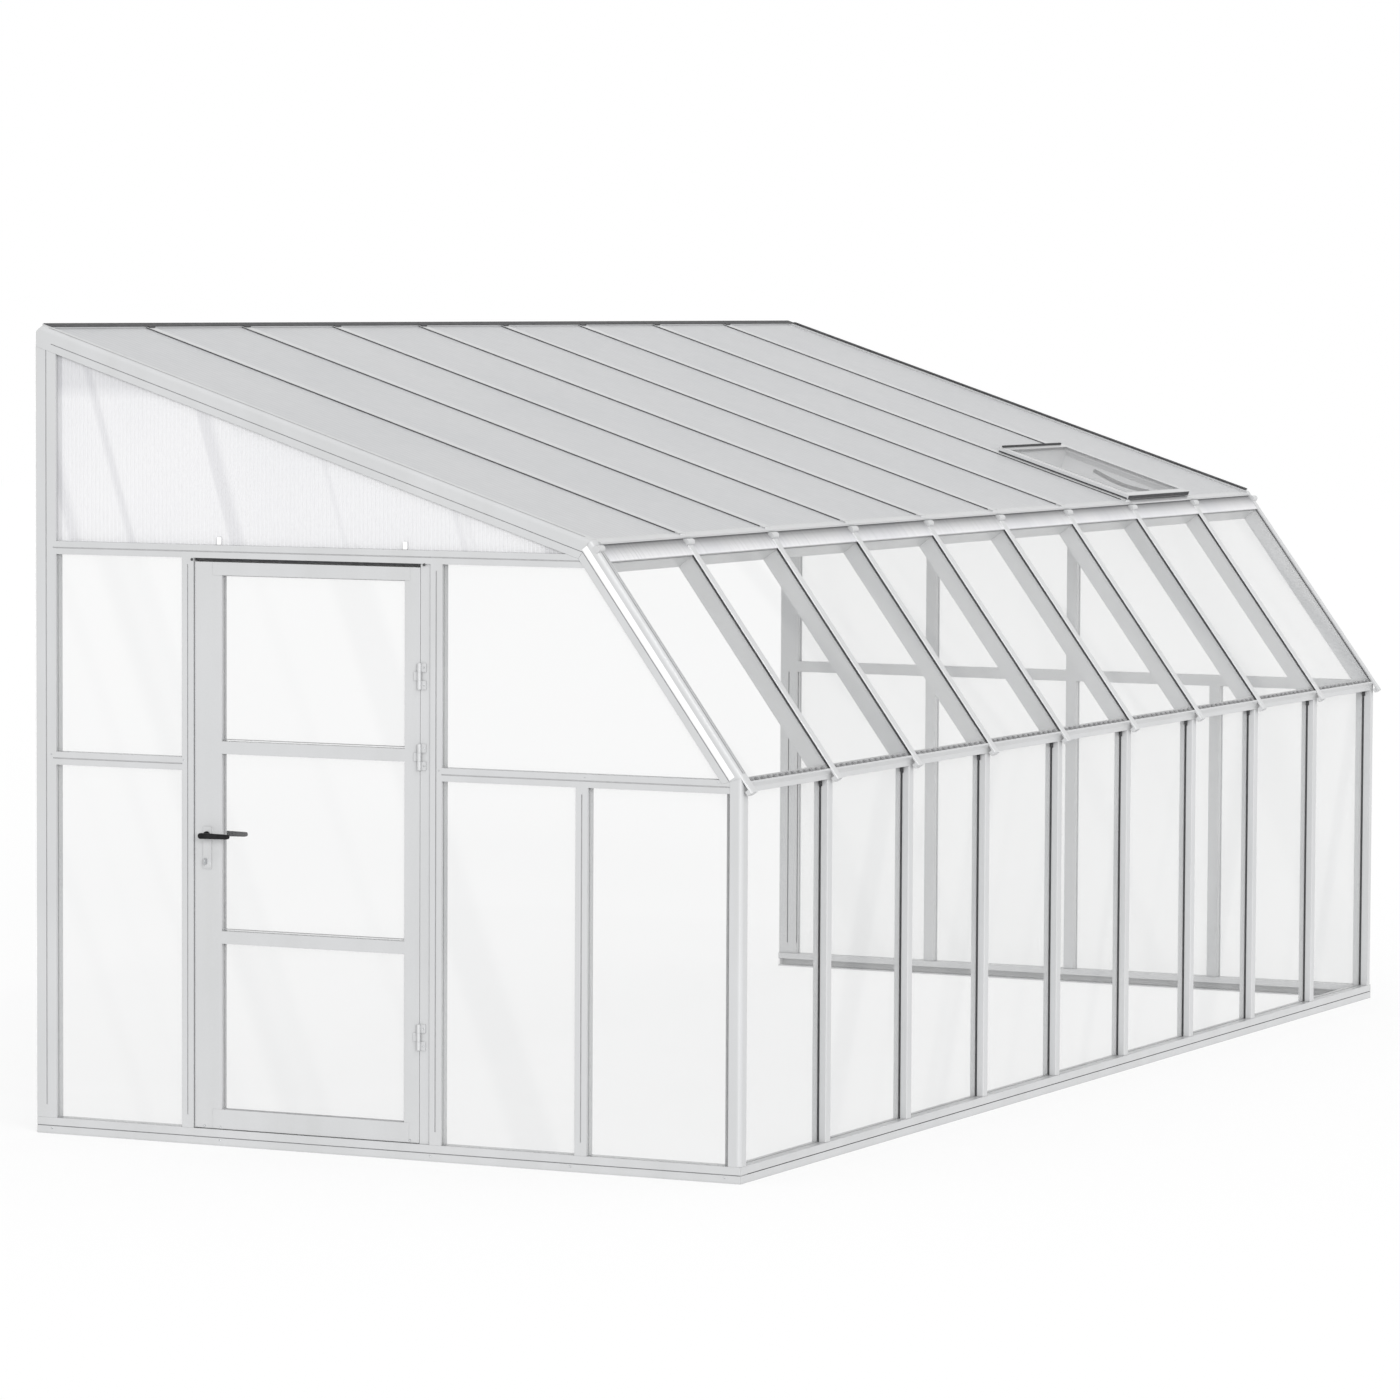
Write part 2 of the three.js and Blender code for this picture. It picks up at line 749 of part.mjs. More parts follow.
// A twin-wall sheet: two skins joined by ribs, with open flutes that run downhill
function roofPanel(index, from, to) {
  const [left, right] = paneReach(index);
  const near = roofCapDepth + fit;
  const pitch = (right - left - sheetSkin) / fluteCount;
  const flutes = Array.from({ length: fluteCount }, (unused, i) => {
    const low = left + sheetSkin + i * pitch;
    return alongZ(
      rectangle(low, near + sheetSkin, low + pitch - sheetSkin, near + roofSheet - sheetSkin),
      from - overrun,
      to + overrun,
    );
  });
  return cut(alongZ(rectangle(left, near, right, near + roofSheet), from, to), flutes);
}

function addRoofPanels(group) {
  const low = dripBack + fit;
  const high = wallTop(roofCapDepth + roofSlot) - wallPlateWeb - fit;
  for (let index = 0; index < bayCount; index += 1) {
    const name = `roof_panel_${index + 1}`;
    if (index !== ventBay) {
      addMesh(group, name, roofPanel(index, low, high), 'sheet');
      continue;
    }
    const headTop = ventTo + 2 * ventHingeSetback;
    addMesh(group, name, roofPanel(index, headTop - bite + fit, high), 'sheet');
  }
}

// Gables: every piece is a layer between two depths, clipped to the outline of the building
function gableClip(frontDepth, slopeDepth, roofDepth, bottom) {
  const mitreAt = (y) => [y, kneeHeight - y * kneeMitre - fit];
  return [
    [frontDepth, bottom],
    [depth, bottom],
    meetUpright(roof, roofDepth, depth),
    meet(slope, slopeDepth, roof, roofDepth),
    mitreAt(slopeDepth),
    mitreAt(frontDepth),
  ];
}

const seatDepth = endCapDepth - bite + fit;
const facetSeatDepth = facetBarDepth - bite + fit;
const facetClear = facetBarDepth + fit;
const coreAt = gableCap + glassSlot;
const webMiddle = gableCap + glassSlot / 2;
const capClip = () => gableClip(endCapDepth + fit, facetClear, facetClear, baseHeight + fit);
const webClip = () => gableClip(seatDepth, facetSeatDepth, facetSeatDepth, baseHeight + fit);
const coreClip = () => gableClip(endBarDepth + fit, facetClear, facetClear, baseHeight + fit);

// The layers of a gable: how deep each lies, its clip, and whether panes are let into it
const gableLayers = () => [
  { range: [0, gableCap], clip: capClip(), cutBack: false },
  { range: [gableCap - weld, webMiddle], clip: capClip(), cutBack: true },
  { range: [gableCap + fit, coreAt - fit], clip: webClip(), cutBack: true },
  { range: [webMiddle - weld, coreAt + weld], clip: coreClip(), cutBack: true },
  { range: [coreAt, endBarWidth], clip: coreClip(), cutBack: false },
];

function slab(outline, face, inward, range) {
  const [from, to] = range.map((value) => face + inward * value).sort((low, high) => low - high);
  return alongX(outline, from, to);
}

// Outline of a post or rail; where a pane sits in it, its web is cut back by the bite
function memberOutline({ box, sides }, cutBack) {
  const [lowY, lowZ, highY, highZ] = box;
  const [left, right, below, above] = sides.map((held) => (held && cutBack ? bite : 0));
  return rectangle(lowY + left, lowZ + below, highY - right, highZ - above);
}

// The groove along the middle of a member's outer face
function memberGroove({ box }, face, inward) {
  const [lowY, lowZ, highY, highZ] = box;
  const [midY, midZ] = [(lowY + highY) / 2, (lowZ + highZ) / 2];
  const half = grooveWidth / 2;
  const upright = highZ - lowZ > highY - lowY;
  const outline = upright
    ? rectangle(midY - half, lowZ + memberWidth, midY + half, highZ - memberWidth)
    : rectangle(lowY, midZ - half, highY, midZ + half);
  return slab(outline, face, inward, [-overrun, grooveDepth]);
}

// The whole gable frame, layer by layer, with the deeper slot for the sheet at its top
function gableFrame(members, face, inward) {
  const parts = gableLayers().map(({ range, clip, cutBack }) => {
    const pieces = members.map((part) => slab(memberOutline(part, cutBack), face, inward, range));
    return join(pieces).intersect(slab(clip, face, inward, range));
  });
  const sheetSeat = rectangle(0, sheetBottom, houseLow + bite, ridgeHeight);
  return cut(join(parts), [
    ...members.map((part) => memberGroove(part, face, inward)),
    slab(sheetSeat, face, inward, [gableCap, gableCap + gableSlot]),
  ]);
}

const railBox = (height, from, to) => [from, height - memberWidth / 2, to, height + memberWidth / 2];
const postBox = (low, width, top) => [low, baseHeight, low + width, top];
const houseLow = depth - housePostWidth;
const nearFree = houseLow - endBarDepth - nearPostCount * memberWidth - doorOpening;
const nearPaneWidth = nearFree / nearPaneCount;
const midPostLow = endBarDepth + nearPaneWidth;
const hingePostLow = midPostLow + memberWidth + nearPaneWidth;
const doorLow = hingePostLow + memberWidth;
const doorHigh = doorLow + doorOpening;
const leafLow = doorLow + jambWidth;
const lockPostLow = doorHigh;
const farBay = (houseLow - endBarDepth + memberWidth) / farBayCount;
const sheetBottom = topRailHeight + memberWidth / 2 - bite;
const farPostLow = (index) => endBarDepth + index * farBay - memberWidth;

const member = (box, left, right, below, above) => ({ box, sides: [left, right, below, above] });
const housePost = () => member([houseLow, baseHeight, depth, ridgeHeight], true, false, false, false);

function nearMembers() {
  const [hingeSide, lockSide] = [hingePostLow + bite, lockPostLow + memberWidth - bite];
  return [
    housePost(),
    member(postBox(lockPostLow, memberWidth, topRailHeight), false, true, false, false),
    member(postBox(hingePostLow, memberWidth, topRailHeight), true, false, false, false),
    member(postBox(midPostLow, memberWidth, midRailHeight), true, true, false, false),
    member(railBox(topRailHeight, 0, hingeSide + weld), false, false, true, true),
    member(railBox(topRailHeight, hingeSide, lockSide), false, false, false, true),
    member(railBox(topRailHeight, lockSide - weld, houseLow + bite), false, false, true, true),
    member(railBox(midRailHeight, 0, hingePostLow + weld), false, false, true, true),
    member(railBox(midRailHeight, lockSide + bite - weld, houseLow + bite), false, false, true, true),
  ];
}

const farPostNumbers = Array.from({ length: farBayCount - 1 }, (unused, index) => index + 1);

function farMembers() {
  const posts = farPostNumbers.map((index) => {
    const top = index === shortPostNumber ? midRailHeight : topRailHeight;
    return member(postBox(farPostLow(index), memberWidth, top), true, true, false, false);
  });
  return [
    housePost(),
    ...posts,
    member(railBox(topRailHeight, 0, houseLow + bite), false, false, true, true),
    member(railBox(midRailHeight, 0, houseLow + bite), false, false, true, true),
  ];
}

// Jamb and stops that the door leaf closes against
function doorSurround(face, inward) {
  const head = topRailHeight - memberWidth / 2;
  const stopFrom = leafSetback + leafThickness + fit;
  const stopTo = stopFrom + stopDepth;
  const jambTo = leafSetback + leafThickness;
  const jamb = slab(
    rectangle(doorLow - weld, baseHeight + fit, leafLow - runningGap / 2, head + weld),
    face,
    inward,
    [leafSetback, stopTo],
  );
  const hingeStop = slab(
    rectangle(leafLow - runningGap, baseHeight + fit, leafLow + stopWidth, head + weld),
    face,
    inward,
    [stopFrom, stopTo],
  );
  const lockStop = slab(
    rectangle(doorHigh - stopWidth, baseHeight + fit, doorHigh + weld, head + weld),
    face,
    inward,
    [stopFrom, stopTo],
  );
  const headStop = slab(
    rectangle(doorLow - weld, head - headGap - stopWidth, doorHigh + weld, head + weld),
    face,
    inward,
    [stopFrom, stopTo],
  );
  const lockBacking = slab(
    rectangle(doorHigh, baseHeight + fit, doorHigh + memberWidth / 2, head + weld),
    face,
    inward,
    [jambTo - weld, stopTo],
  );
  return join([jamb, hingeStop, lockStop, headStop, lockBacking]);
}

const leafHigh = doorHigh - runningGap;
const leafBottom = baseHeight + runningGap;
const leafTop = topRailHeight - memberWidth / 2 - headGap;
const spindleY = doorHigh - spindleInset;
const leafHeight = (share) => leafBottom + share * (leafTop - leafBottom);
const hingeX = leafSetback - hingeRadius - weld;
const hingeY = leafLow - runningGap / 4;

// Where the hinge sleeves and their leaves sit, for the jamb and for the leaf
function doorHinges() {
  const faceX = leafSetback;
  return hingeShares.map((share) => {
    const part = hinge(hingeX, hingeY, leafHeight(share), 3 * knuckleLength);
    const wing = (from, to, low, high) =>
      block(faceX - hingeLeafThickness - weld, from, low, faceX - fit, to, high);
    const pad = (from, to, low, high) => block(faceX - weld, from, low, faceX + weld, to, high);
    const [low, third] = [part.low, part.third];
    const high = low + 3 * third;
    const jambEdge = hingeY - hingeLeafWidth;
    const fixedWings = [
      wing(jambEdge, hingeY, low, low + third - fit),
      wing(jambEdge, hingeY, high - third + fit, high),
      pad(jambEdge, hingeY - runningGap, low, low + third - fit),
      pad(jambEdge, hingeY - runningGap, high - third + fit, high),
    ];
    const movingWings = [
      wing(hingeY, hingeY + hingeLeafWidth, low + third + fit, high - third - fit),
      pad(hingeY + runningGap, hingeY + hingeLeafWidth, low + third + fit, high - third - fit),
    ];
    const bore = alongZ(disc(hingeX, hingeY, hingePinRadius + fit), low, high);
    return {
      fixed: join([part.fixed, ...fixedWings]),
      moving: cut(join([part.moving, ...movingWings]), [bore]),
    };
  });
}

// The lock bolt lies drawn back in the lock stile; the key throws it across the door gap
const lockHeight = spindleHeight - lockDrop;
const boltTip = leafHigh - boltSetback;

function boltBlock(margin, low, high) {
  const middle = leafSetback + leafThickness / 2;
  const [across, up] = [boltThickness / 2 + margin, boltHeight / 2 + margin];
  return block(middle - across, low, lockHeight - up, middle + across, high, lockHeight + up);
}

const lockBolt = () => boltBlock(0, boltTip - boltLength, boltTip);
const boltPocket = () => boltBlock(fit, boltTip - boltLength - fit, boltTip + boltThrow + runningGap);

// Door leaf: stiles, rails and cross rails around one glazing slot
function doorLeaf() {
  const outer = rectangle(leafLow, leafBottom, leafHigh, leafTop);
  const [from, to] = [leafSetback, leafSetback + leafThickness];
  const windowLow = leafLow + hingeStile;
  const windowHigh = leafHigh - lockStile;
  const crossings = crossRailShares.map(leafHeight);
  const sills = [leafBottom + doorBottomRail, ...crossings.map((height) => height + crossRail / 2)];
  const windowTop = leafTop - doorTopRail;
  const heads = [...crossings.map((height) => height - crossRail / 2), windowTop];
  const windows = sills.map((sill, index) =>
    alongX(rectangle(windowLow, sill, windowHigh, heads[index]), from - overrun, to + overrun),
  );
  const middle = (from + to) / 2;
  const slot = alongX(
    rectangle(windowLow - bite, sills[0] - bite, windowHigh + bite, windowTop + bite),
    middle - glassSlot / 2,
    middle + glassSlot / 2,
  );
  const overlay = alongX(
    rectangle(windowLow - trimOverlap, windowTop, windowHigh + trimOverlapLock, leafTop),
    from - weld,
    from + weld,
  );
  const kick = alongX(
    rectangle(windowLow - trimOverlap, leafBottom, windowHigh + trimOverlapLock, sills[0]),
    from - weld,
    from + weld,
  );
  const plateFrom = lockHeight - plateReach;
  const plateTo = spindleHeight + plateReach;
  const plateOutline = rectangle(spindleY - plateWidth / 2, plateFrom, spindleY + plateWidth / 2, plateTo);
  const plates = [
    alongX(plateOutline, from - plateThickness, from + weld),
    alongX(plateOutline, to - weld, to + plateThickness),
  ];
  const through = (z, radius) =>
    alongX(disc(spindleY, z, radius), from - overrun - plateThickness, to + overrun + plateThickness);
  const body = join([
    alongX(outer, from, to),
    overlay,
    kick,
    ...plates,
    ...doorHinges().map((part) => part.moving),
  ]);
  const holes = [through(spindleHeight, spindleRadius + fit), through(lockHeight, lockRadius + fit)];
  return cut(body, [...windows, slot, boltPocket(), ...holes]);
}

function doorPane() {
  const middle = leafSetback + leafThickness / 2;
  const low = leafBottom + doorBottomRail - bite + fit;
  const high = leafTop - doorTopRail + bite - fit;
  const outline = rectangle(
    leafLow + hingeStile - bite + fit,
    low,
    leafHigh - lockStile + bite - fit,
    high,
  );
  return alongX(outline, middle - glass / 2, middle + glass / 2);
}

// One lever: a bar with a round end that tapers towards its tip, drawn from the spindle
function leverOutline() {
  const shape = new THREE.Shape();
  const root = leverHeight / 2;
  const end = spindleY - leverLength + leverTipRadius;
  const quarter = fullTurn / 4;
  shape.absarc(spindleY, spindleHeight, root, -quarter, quarter, false);
  shape.absarc(end, spindleHeight, leverTipRadius, quarter, 3 * quarter, false);
  return shape;
}

function doorHandle() {
  const [from, to] = [leafSetback - plateThickness, leafSetback + leafThickness + plateThickness];
  const outside = leafSetback - leverStandoff;
  const inside = leafSetback + leafThickness + leverStandoff;
  const lever = leverOutline();
  const around = disc(spindleY, spindleHeight, roseRadius);
  return join([
    alongX(disc(spindleY, spindleHeight, spindleRadius), outside + weld, inside - weld),
    alongX(around, from - fit - roseThickness, from - fit),
    alongX(around, to + fit, to + fit + roseThickness),
    alongX(disc(spindleY, spindleHeight, leverNeckRadius), outside + weld, from - fit - weld),
    alongX(disc(spindleY, spindleHeight, leverNeckRadius), to + fit + weld, inside - weld),
    alongX(lever, outside, outside + leverThickness),
    alongX(lever, inside - leverThickness, inside),
  ]);
}

// Lock plug with its key in the outer face
function lockCylinder() {
  const from = leafSetback - plateThickness - weld;
  const to = leafSetback + leafThickness + plateThickness;
  const bowX = from - keyReach + keyBowRadius;
  const half = keyThickness / 2;
  const [low, high] = [lockHeight - lockRadius / 2, lockHeight + lockRadius / 2];
  const bow = alongY(disc(bowX, lockHeight, keyBowRadius), spindleY - half, spindleY + half);
  const shank = block(bowX, spindleY - half, low, from + weld, spindleY + half, high);
  return join([alongX(disc(spindleY, lockHeight, lockRadius), from, to), bow, shank]);
}

// Panes of a gable, each cut to the building's outline
function gablePane(box, thickness, slopeDepth, face, inward) {
  const range = [gableCap + fit, gableCap + fit + thickness];
  const clip = gableClip(seatDepth, slopeDepth, facetSeatDepth, baseHeight - bite + fit);
  return slab(rectangle(...box), face, inward, range).intersect(slab(clip, face, inward, range));
}

function addGablePanes(group, side, openings, face, inward) {
  const seat = bite - fit;
  openings.forEach(([name, lowY, highY, lowZ, highZ]) => {
    const box = [lowY - seat, lowZ - seat, highY + seat, highZ + seat];
    addMesh(group, `${side}_${name}`, gablePane(box, glass, facetSeatDepth, face, inward), 'glass');
  });
  const topBox = [0, sheetBottom + fit, houseLow + seat, ridgeHeight];
  const sheet = gablePane(topBox, gableSheet, facetClear, face, inward);
  addMesh(group, `${side}_top_sheet`, sheet, 'sheet');
}

const nearOpenings = () => {
  const half = memberWidth / 2;
  const [midLow, midHigh] = [midRailHeight - half, midRailHeight + half];
  const lockRight = lockPostLow + memberWidth;
  return [
    ['house_lower_pane', lockRight, houseLow, baseHeight, midLow],
    ['house_upper_pane', lockRight, houseLow, midHigh, topRailHeight - half],
    ['hinge_lower_pane', midPostLow + memberWidth, hingePostLow, baseHeight, midLow],
    ['corner_lower_pane', 0, midPostLow, baseHeight, midLow],
    ['corner_upper_pane', 0, hingePostLow, midHigh, topRailHeight - half],
  ];
};

// The far gable's openings run from post to post; the short post only divides the lower row
function farRow(name, posts, low, high) {
  const starts = [0, ...posts.map((index) => farPostLow(index) + memberWidth)];
  const ends = [...posts.map((index) => farPostLow(index)), houseLow];
  return starts.map((from, index) => [`${name}_${index + 1}`, from, ends[index], low, high]);
}

const farOpenings = () => {
  const half = memberWidth / 2;
  const tallPosts = farPostNumbers.filter((index) => index !== shortPostNumber);
  return [
    ...farRow('lower_pane', farPostNumbers, baseHeight, midRailHeight - half),
    ...farRow('upper_pane', tallPosts, midRailHeight + half, topRailHeight - half),
  ];
};

// Vent sash in the roof's measures: a raised frame around a sheet, hinged at its upper edge
const sashFrom = line(ventBay) + ventSideGap;
const sashTo = line(ventBay + 1) - ventSideGap;
const sashDepths = [-ventLift - ventHeight, -ventLift];

function stayAt() {
  return {
    x: line(ventBay) + stayBayShare * bay,
    inward: stayDrop - ventLift,
    uphill: ventFrom + ventBar + stayInset,
  };
}

function ventSash() {
  const [near, far] = sashDepths;
  const opening = rectangle(near - overrun, ventFrom + ventBar, far + overrun, ventTo - ventBar);
  const body = alongX(rectangle(near, ventFrom, far, ventTo), sashFrom, sashTo);
  const hole = alongX(opening, sashFrom + ventBar, sashTo - ventBar);
  const slotLow = near + softEdge;
  const slot = alongX(
    rectangle(slotLow, ventFrom + ventBar - bite, slotLow + gableSlot, ventTo - ventBar + bite),
    sashFrom + ventBar - bite,
    sashTo - ventBar + bite,
  );
  const stay = stayAt();
  const lugFrom = stay.x + stayThickness / 2 + fit;
  const lug = block(
    lugFrom,
    stay.inward - stayWidth / 2,
    ventFrom + ventBar - weld,
    lugFrom + stayThickness,
    stay.inward + stayWidth / 2,
    stay.uphill + stayPinRadius + weld,
  );
  const pin = alongX(disc(stay.inward, stay.uphill, stayPinRadius), stay.x - stayThickness, lugFrom + weld);
  return join([cut(body, [hole, slot]), lug, pin, ...ventHinges().map((part) => part.moving)]);
}

function ventPane() {
  const low = sashDepths[0] + softEdge + fit;
  const outline = rectangle(
    low,
    ventFrom + ventBar - bite + fit,
    low + gableSheet,
    ventTo - ventBar + bite - fit,
  );
  return alongX(outline, sashFrom + ventBar - bite + fit, sashTo - ventBar + bite - fit);
}

// Stay: a curved flat bar with peg holes, folded up under the pane
function ventStay() {
  const { x, inward, uphill } = stayAt();
  const half = stayWidth / 2;
  const edge = half - stayShoulder;
  const steps = 2 * arcSteps;
  const spine = (share) => [
    inward + staySag * Math.sin(Math.PI * share),
    uphill + share * stayLength,
  ];
  const near = [];
  const far = [];
  for (let i = 0; i <= steps; i += 1) {
    const [a, b] = spine(i / steps);
    near.push([a - edge, b]);
    far.push([a + edge, b]);
  }
  const [endA, endB] = spine(1);
  const [from, to] = [x - stayThickness / 2, x + stayThickness / 2];
  const arm = join([
    alongX([...near, ...far.reverse()], from, to),
    alongX(disc(inward, uphill, half), from, to),
    alongX(disc(endA, endB, edge), from, to),
  ]);
  const holes = stayHoleShares.map((share) => {
    const [a, b] = spine(share);
    return alongX(disc(a, b, stayPinRadius + fit), from - overrun, to + overrun);
  });
  const pivot = alongX(disc(inward, uphill, stayPinRadius + fit), from - overrun, to + overrun);
  return cut(arm, [...holes, pivot]);
}

// Groups that carry the slope's and the roof's own axes
function facetGroup(plane) {
  const group = new THREE.Group();
  group.position.set(0, plane.y, plane.z);
  group.rotation.x = plane.angle - Math.PI / 2;
  return group;
}

const tipReach = tipLength * Math.cos(slopeAngle);
const handleReach = leverStandoff - leafSetback;
const greenhouse = new THREE.Group();
greenhouse.position.set((handleReach - overallLength) / 2, (tipReach - depth) / 2, 0);

const slopeGroup = facetGroup(slope);
const roofGroup = facetGroup(roof);
greenhouse.add(slopeGroup, roofGroup);

addFrontBase(greenhouse);
addMesh(greenhouse, 'base_door_gable', gableBase(0, 1), 'frame');
addMesh(greenhouse, 'base_far_gable', gableBase(overallLength, -1), 'frame');
addMesh(greenhouse, 'front_frame', frontFrame(), 'frame');
addMesh(slopeGroup, 'slope_frame', slopeFrame(), 'frame');
addMesh(roofGroup, 'roof_frame', roofFrame(), 'frame');
for (let index = 0; index < bayCount; index += 1) {
  addMesh(greenhouse, `front_pane_${index + 1}`, frontPane(index), 'glass');
  addMesh(slopeGroup, `slope_pane_${index + 1}`, slopePane(index), 'glass');
}
addRoofPanels(roofGroup);

const nearFixed = join([
  gableFrame(nearMembers(), 0, 1),
  doorSurround(0, 1),
  ...doorHinges().map((part) => part.fixed),
]);
addMesh(greenhouse, 'gable_frame_near', cut(nearFixed, [boltPocket()]), 'frame');
addMesh(greenhouse, 'gable_frame_far', gableFrame(farMembers(), overallLength, -1), 'frame');
addGablePanes(greenhouse, 'near', nearOpenings(), 0, 1);
addGablePanes(greenhouse, 'far', farOpenings(), overallLength, -1);

addMesh(greenhouse, 'door_frame', doorLeaf(), 'frame');
addMesh(greenhouse, 'door_pane', doorPane(), 'glass');
addMesh(greenhouse, 'door_handle', doorHandle(), 'black');
addMesh(greenhouse, 'lock_bolt', lockBolt(), 'steel');
addMesh(greenhouse, 'lock_cylinder', lockCylinder(), 'steel');

addMesh(roofGroup, 'vent_sash', ventSash(), 'frame');
addMesh(roofGroup, 'vent_pane', ventPane(), 'sheet');
addMesh(roofGroup, 'vent_stay', ventStay(), 'steel');

export default greenhouse;
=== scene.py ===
import json
import math

import bmesh
import bpy
from mathutils import Matrix, Vector


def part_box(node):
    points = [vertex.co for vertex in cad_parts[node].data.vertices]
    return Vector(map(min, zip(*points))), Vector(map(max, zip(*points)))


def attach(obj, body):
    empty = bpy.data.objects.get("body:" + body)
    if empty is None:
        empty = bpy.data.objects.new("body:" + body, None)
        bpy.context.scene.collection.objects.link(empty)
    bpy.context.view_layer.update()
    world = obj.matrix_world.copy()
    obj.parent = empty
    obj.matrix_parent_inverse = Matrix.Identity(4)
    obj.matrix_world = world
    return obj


MM = 0.001

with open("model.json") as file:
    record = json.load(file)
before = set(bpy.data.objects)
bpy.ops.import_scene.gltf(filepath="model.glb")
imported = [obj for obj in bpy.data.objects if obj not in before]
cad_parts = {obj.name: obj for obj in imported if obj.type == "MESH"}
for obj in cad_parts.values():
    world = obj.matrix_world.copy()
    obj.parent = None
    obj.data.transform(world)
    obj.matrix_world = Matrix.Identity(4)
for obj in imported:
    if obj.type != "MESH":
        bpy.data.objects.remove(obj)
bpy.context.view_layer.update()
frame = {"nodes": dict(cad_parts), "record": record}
nodes = frame["nodes"]
ROOT = "greenhouse"
ORIGIN = Vector(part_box("base_door_gable")[0])

# Main sizes of the frame, as the model was packed
BAY = 690
BAYS = 9
LENGTH = 6254
DEPTH = 2760
KNEE = 1368
EAVE_Y, EAVE_Z = 572, 2150
RIDGE = 2863
END_BAR = 44
BAR_HALF = 20
ROOF_CAP_HALF = 23
SLOPE_CAP = 8
ROOF_CAP = 5
WALL_GLASS = 34
EAVE_DROP = 90
EAVE_LIP = 25
PLATE_REACH = 40

SLOPE_ANGLE = math.atan2(EAVE_Z - KNEE, EAVE_Y)
ROOF_ANGLE = math.atan2(RIDGE - EAVE_Z, DEPTH - EAVE_Y)
SLOPE_LENGTH = math.hypot(EAVE_Y, EAVE_Z - KNEE)
ROOF_LENGTH = math.hypot(DEPTH - EAVE_Y, RIDGE - EAVE_Z)
EAVE_FOOT = SLOPE_LENGTH - EAVE_DROP
PLATE_FOOT = ROOF_LENGTH - PLATE_REACH

# Vent, its stay and the header above it, measured uphill from the eave
VENT_BAY = 7
VENT_LOW, VENT_HIGH = 4, 608
VENT_SIDES = (4858, 5536)
HEAD_TOP = 626
STAY_X = 5279.8
STAY_FROM = 66
STAY_LENGTH = 270
STAY_SAG = 14
STAY_MIDDLE = 1
SLEEVE_WIDE, SLEEVE_THICK, SLEEVE_ROUND = 22, 14, 3
SLEEVE_START, SLEEVE_SPAN, SLEEVE_STEPS = 0.07, 0.94, 12

# Door leaf, its pane and its hinges
LEAF_LOW, LEAF_HIGH = 60, 2041
PANE_LOW_Y, PANE_HIGH_Y = 1278.6, 2009.3
PANE_ROWS = ((128, 714.6), (758.6, 1378.2), (1422.2, 1995))
HINGE_SHARES = (0.185, 0.672, 0.812)
HINGE_HEIGHTS = [LEAF_LOW + share * (LEAF_HIGH - LEAF_LOW) for share in HINGE_SHARES]

# Grooves in the gables. Posts: middle, low and high end. Rails: middle height, front and rear end
GROOVE_FLOOR = 2.9
NEAR_POSTS = ((2720, 103, 2766), (2143.3, 103, 2031), (1161.3, 103, 2031), (601.7, 103, 1288))
NEAR_RAILS = (
    (2077, 616, 1136),
    (2077, 1186, 2118),
    (2077, 2168, 2678),
    (1334.2, 62, 1136),
    (1334.2, 2168, 2678),
)
FAR_POSTS = ((2720, 103, 2766), (2031.7, 103, 2031), (1366.5, 103, 2031), (701.2, 103, 1288))
FAR_RAILS = ((2077, 616, 2678), (1334.2, 62, 2678))

# Small fittings
TOUCH = 0.02
GASKET = 1.6
CLEAR = 0.4
POST_LOW, POST_HIGH = 58, 1312
TOOTH_PITCH, TOOTH_WIDTH = 46, 17
BASE_SCREWS_Y = (2014, 2700, 1180, 640, 60)
BASE_SCREW_HEIGHT = 19
RAIL_SCREWS_Y = (90, 590, 1150, 2160, 2700)
RAIL_SCREW_HEIGHT = 1347
KICK_SCREWS = ((2078.6, 67.8), (2014, 66.5), (1262, 67.8))
HINGE_SCREW_RISE = 30
FRONT_SEAM_START = 60
# Rings of a screw head: depth out of the face, and share of the radius
SCREW_RINGS = ((0.0, 1.0), (0.9, 0.98), (1.6, 0.8), (2.0, 0.45), (1.2, 0.3), (0.8, 0.1))

# Twin-wall sheets, in metres
ROOF_RIB_PITCH = 0.0374
GABLE_RIB_PITCH = 0.016
GABLE_SHADE_HEIGHT = 2.6
SKIRT_LOW, SKIRT_HIGH = 2.078, 2.12

# Camera, fitted to the photograph
CAMERA_PLACE = (-21.648, -10.163, 2.976)
CAMERA_YAW = 64.211
CAMERA_DIP = 3.759
CAMERA_ROLL = 0.292
CAMERA_REACH = 500
FOCAL_PIXELS = 6168
IMAGE_PIXELS = 1400
SENSOR_WIDTH = 36

# Studio: bright room, pale floor that glows a little, and two suns
ROOM_STRENGTH = 1.0
FLOOR_SIZE = 120
FLOOR_TONE = 0.2
FLOOR_GLOW = 0.76
FILL_SUN = {"strength": 2.3, "spread_angle": 25, "aim": (0.75, 0.62, -0.2)}
EDGE_SUN = {"strength": 0.3, "spread_angle": 5, "aim": (0.42, 0.6, -0.68)}


# Middle of a bay line along the front
def line(index):
    return END_BAR / 2 + index * BAY


def at(x, y, z):
    return ORIGIN + Vector((x, y, z)) * MM


# A facet of the long side: its places are along X, inward and uphill
def facet(y, z, angle):
    sine, cosine = math.sin(angle), math.cos(angle)

    def place(x, inward, up):
        return at(x, y + up * cosine + inward * sine, z + up * sine - inward * cosine)

    return place


FRONT = facet(0, 0, math.pi / 2)
SLOPE = facet(0, KNEE, SLOPE_ANGLE)
ROOF = facet(EAVE_Y, EAVE_Z, ROOF_ANGLE)


# Node materials
def material(name, color, roughness, metallic=0.0, **sockets):
    made = bpy.data.materials.new(name)
    made.use_nodes = True
    shader = shader_of(made)
    shader.inputs["Base Color"].default_value = (*color, 1)
    shader.inputs["Roughness"].default_value = roughness
    shader.inputs["Metallic"].default_value = metallic
    for socket, value in sockets.items():
        shader.inputs[socket.replace("_", " ")].default_value = value
    return made


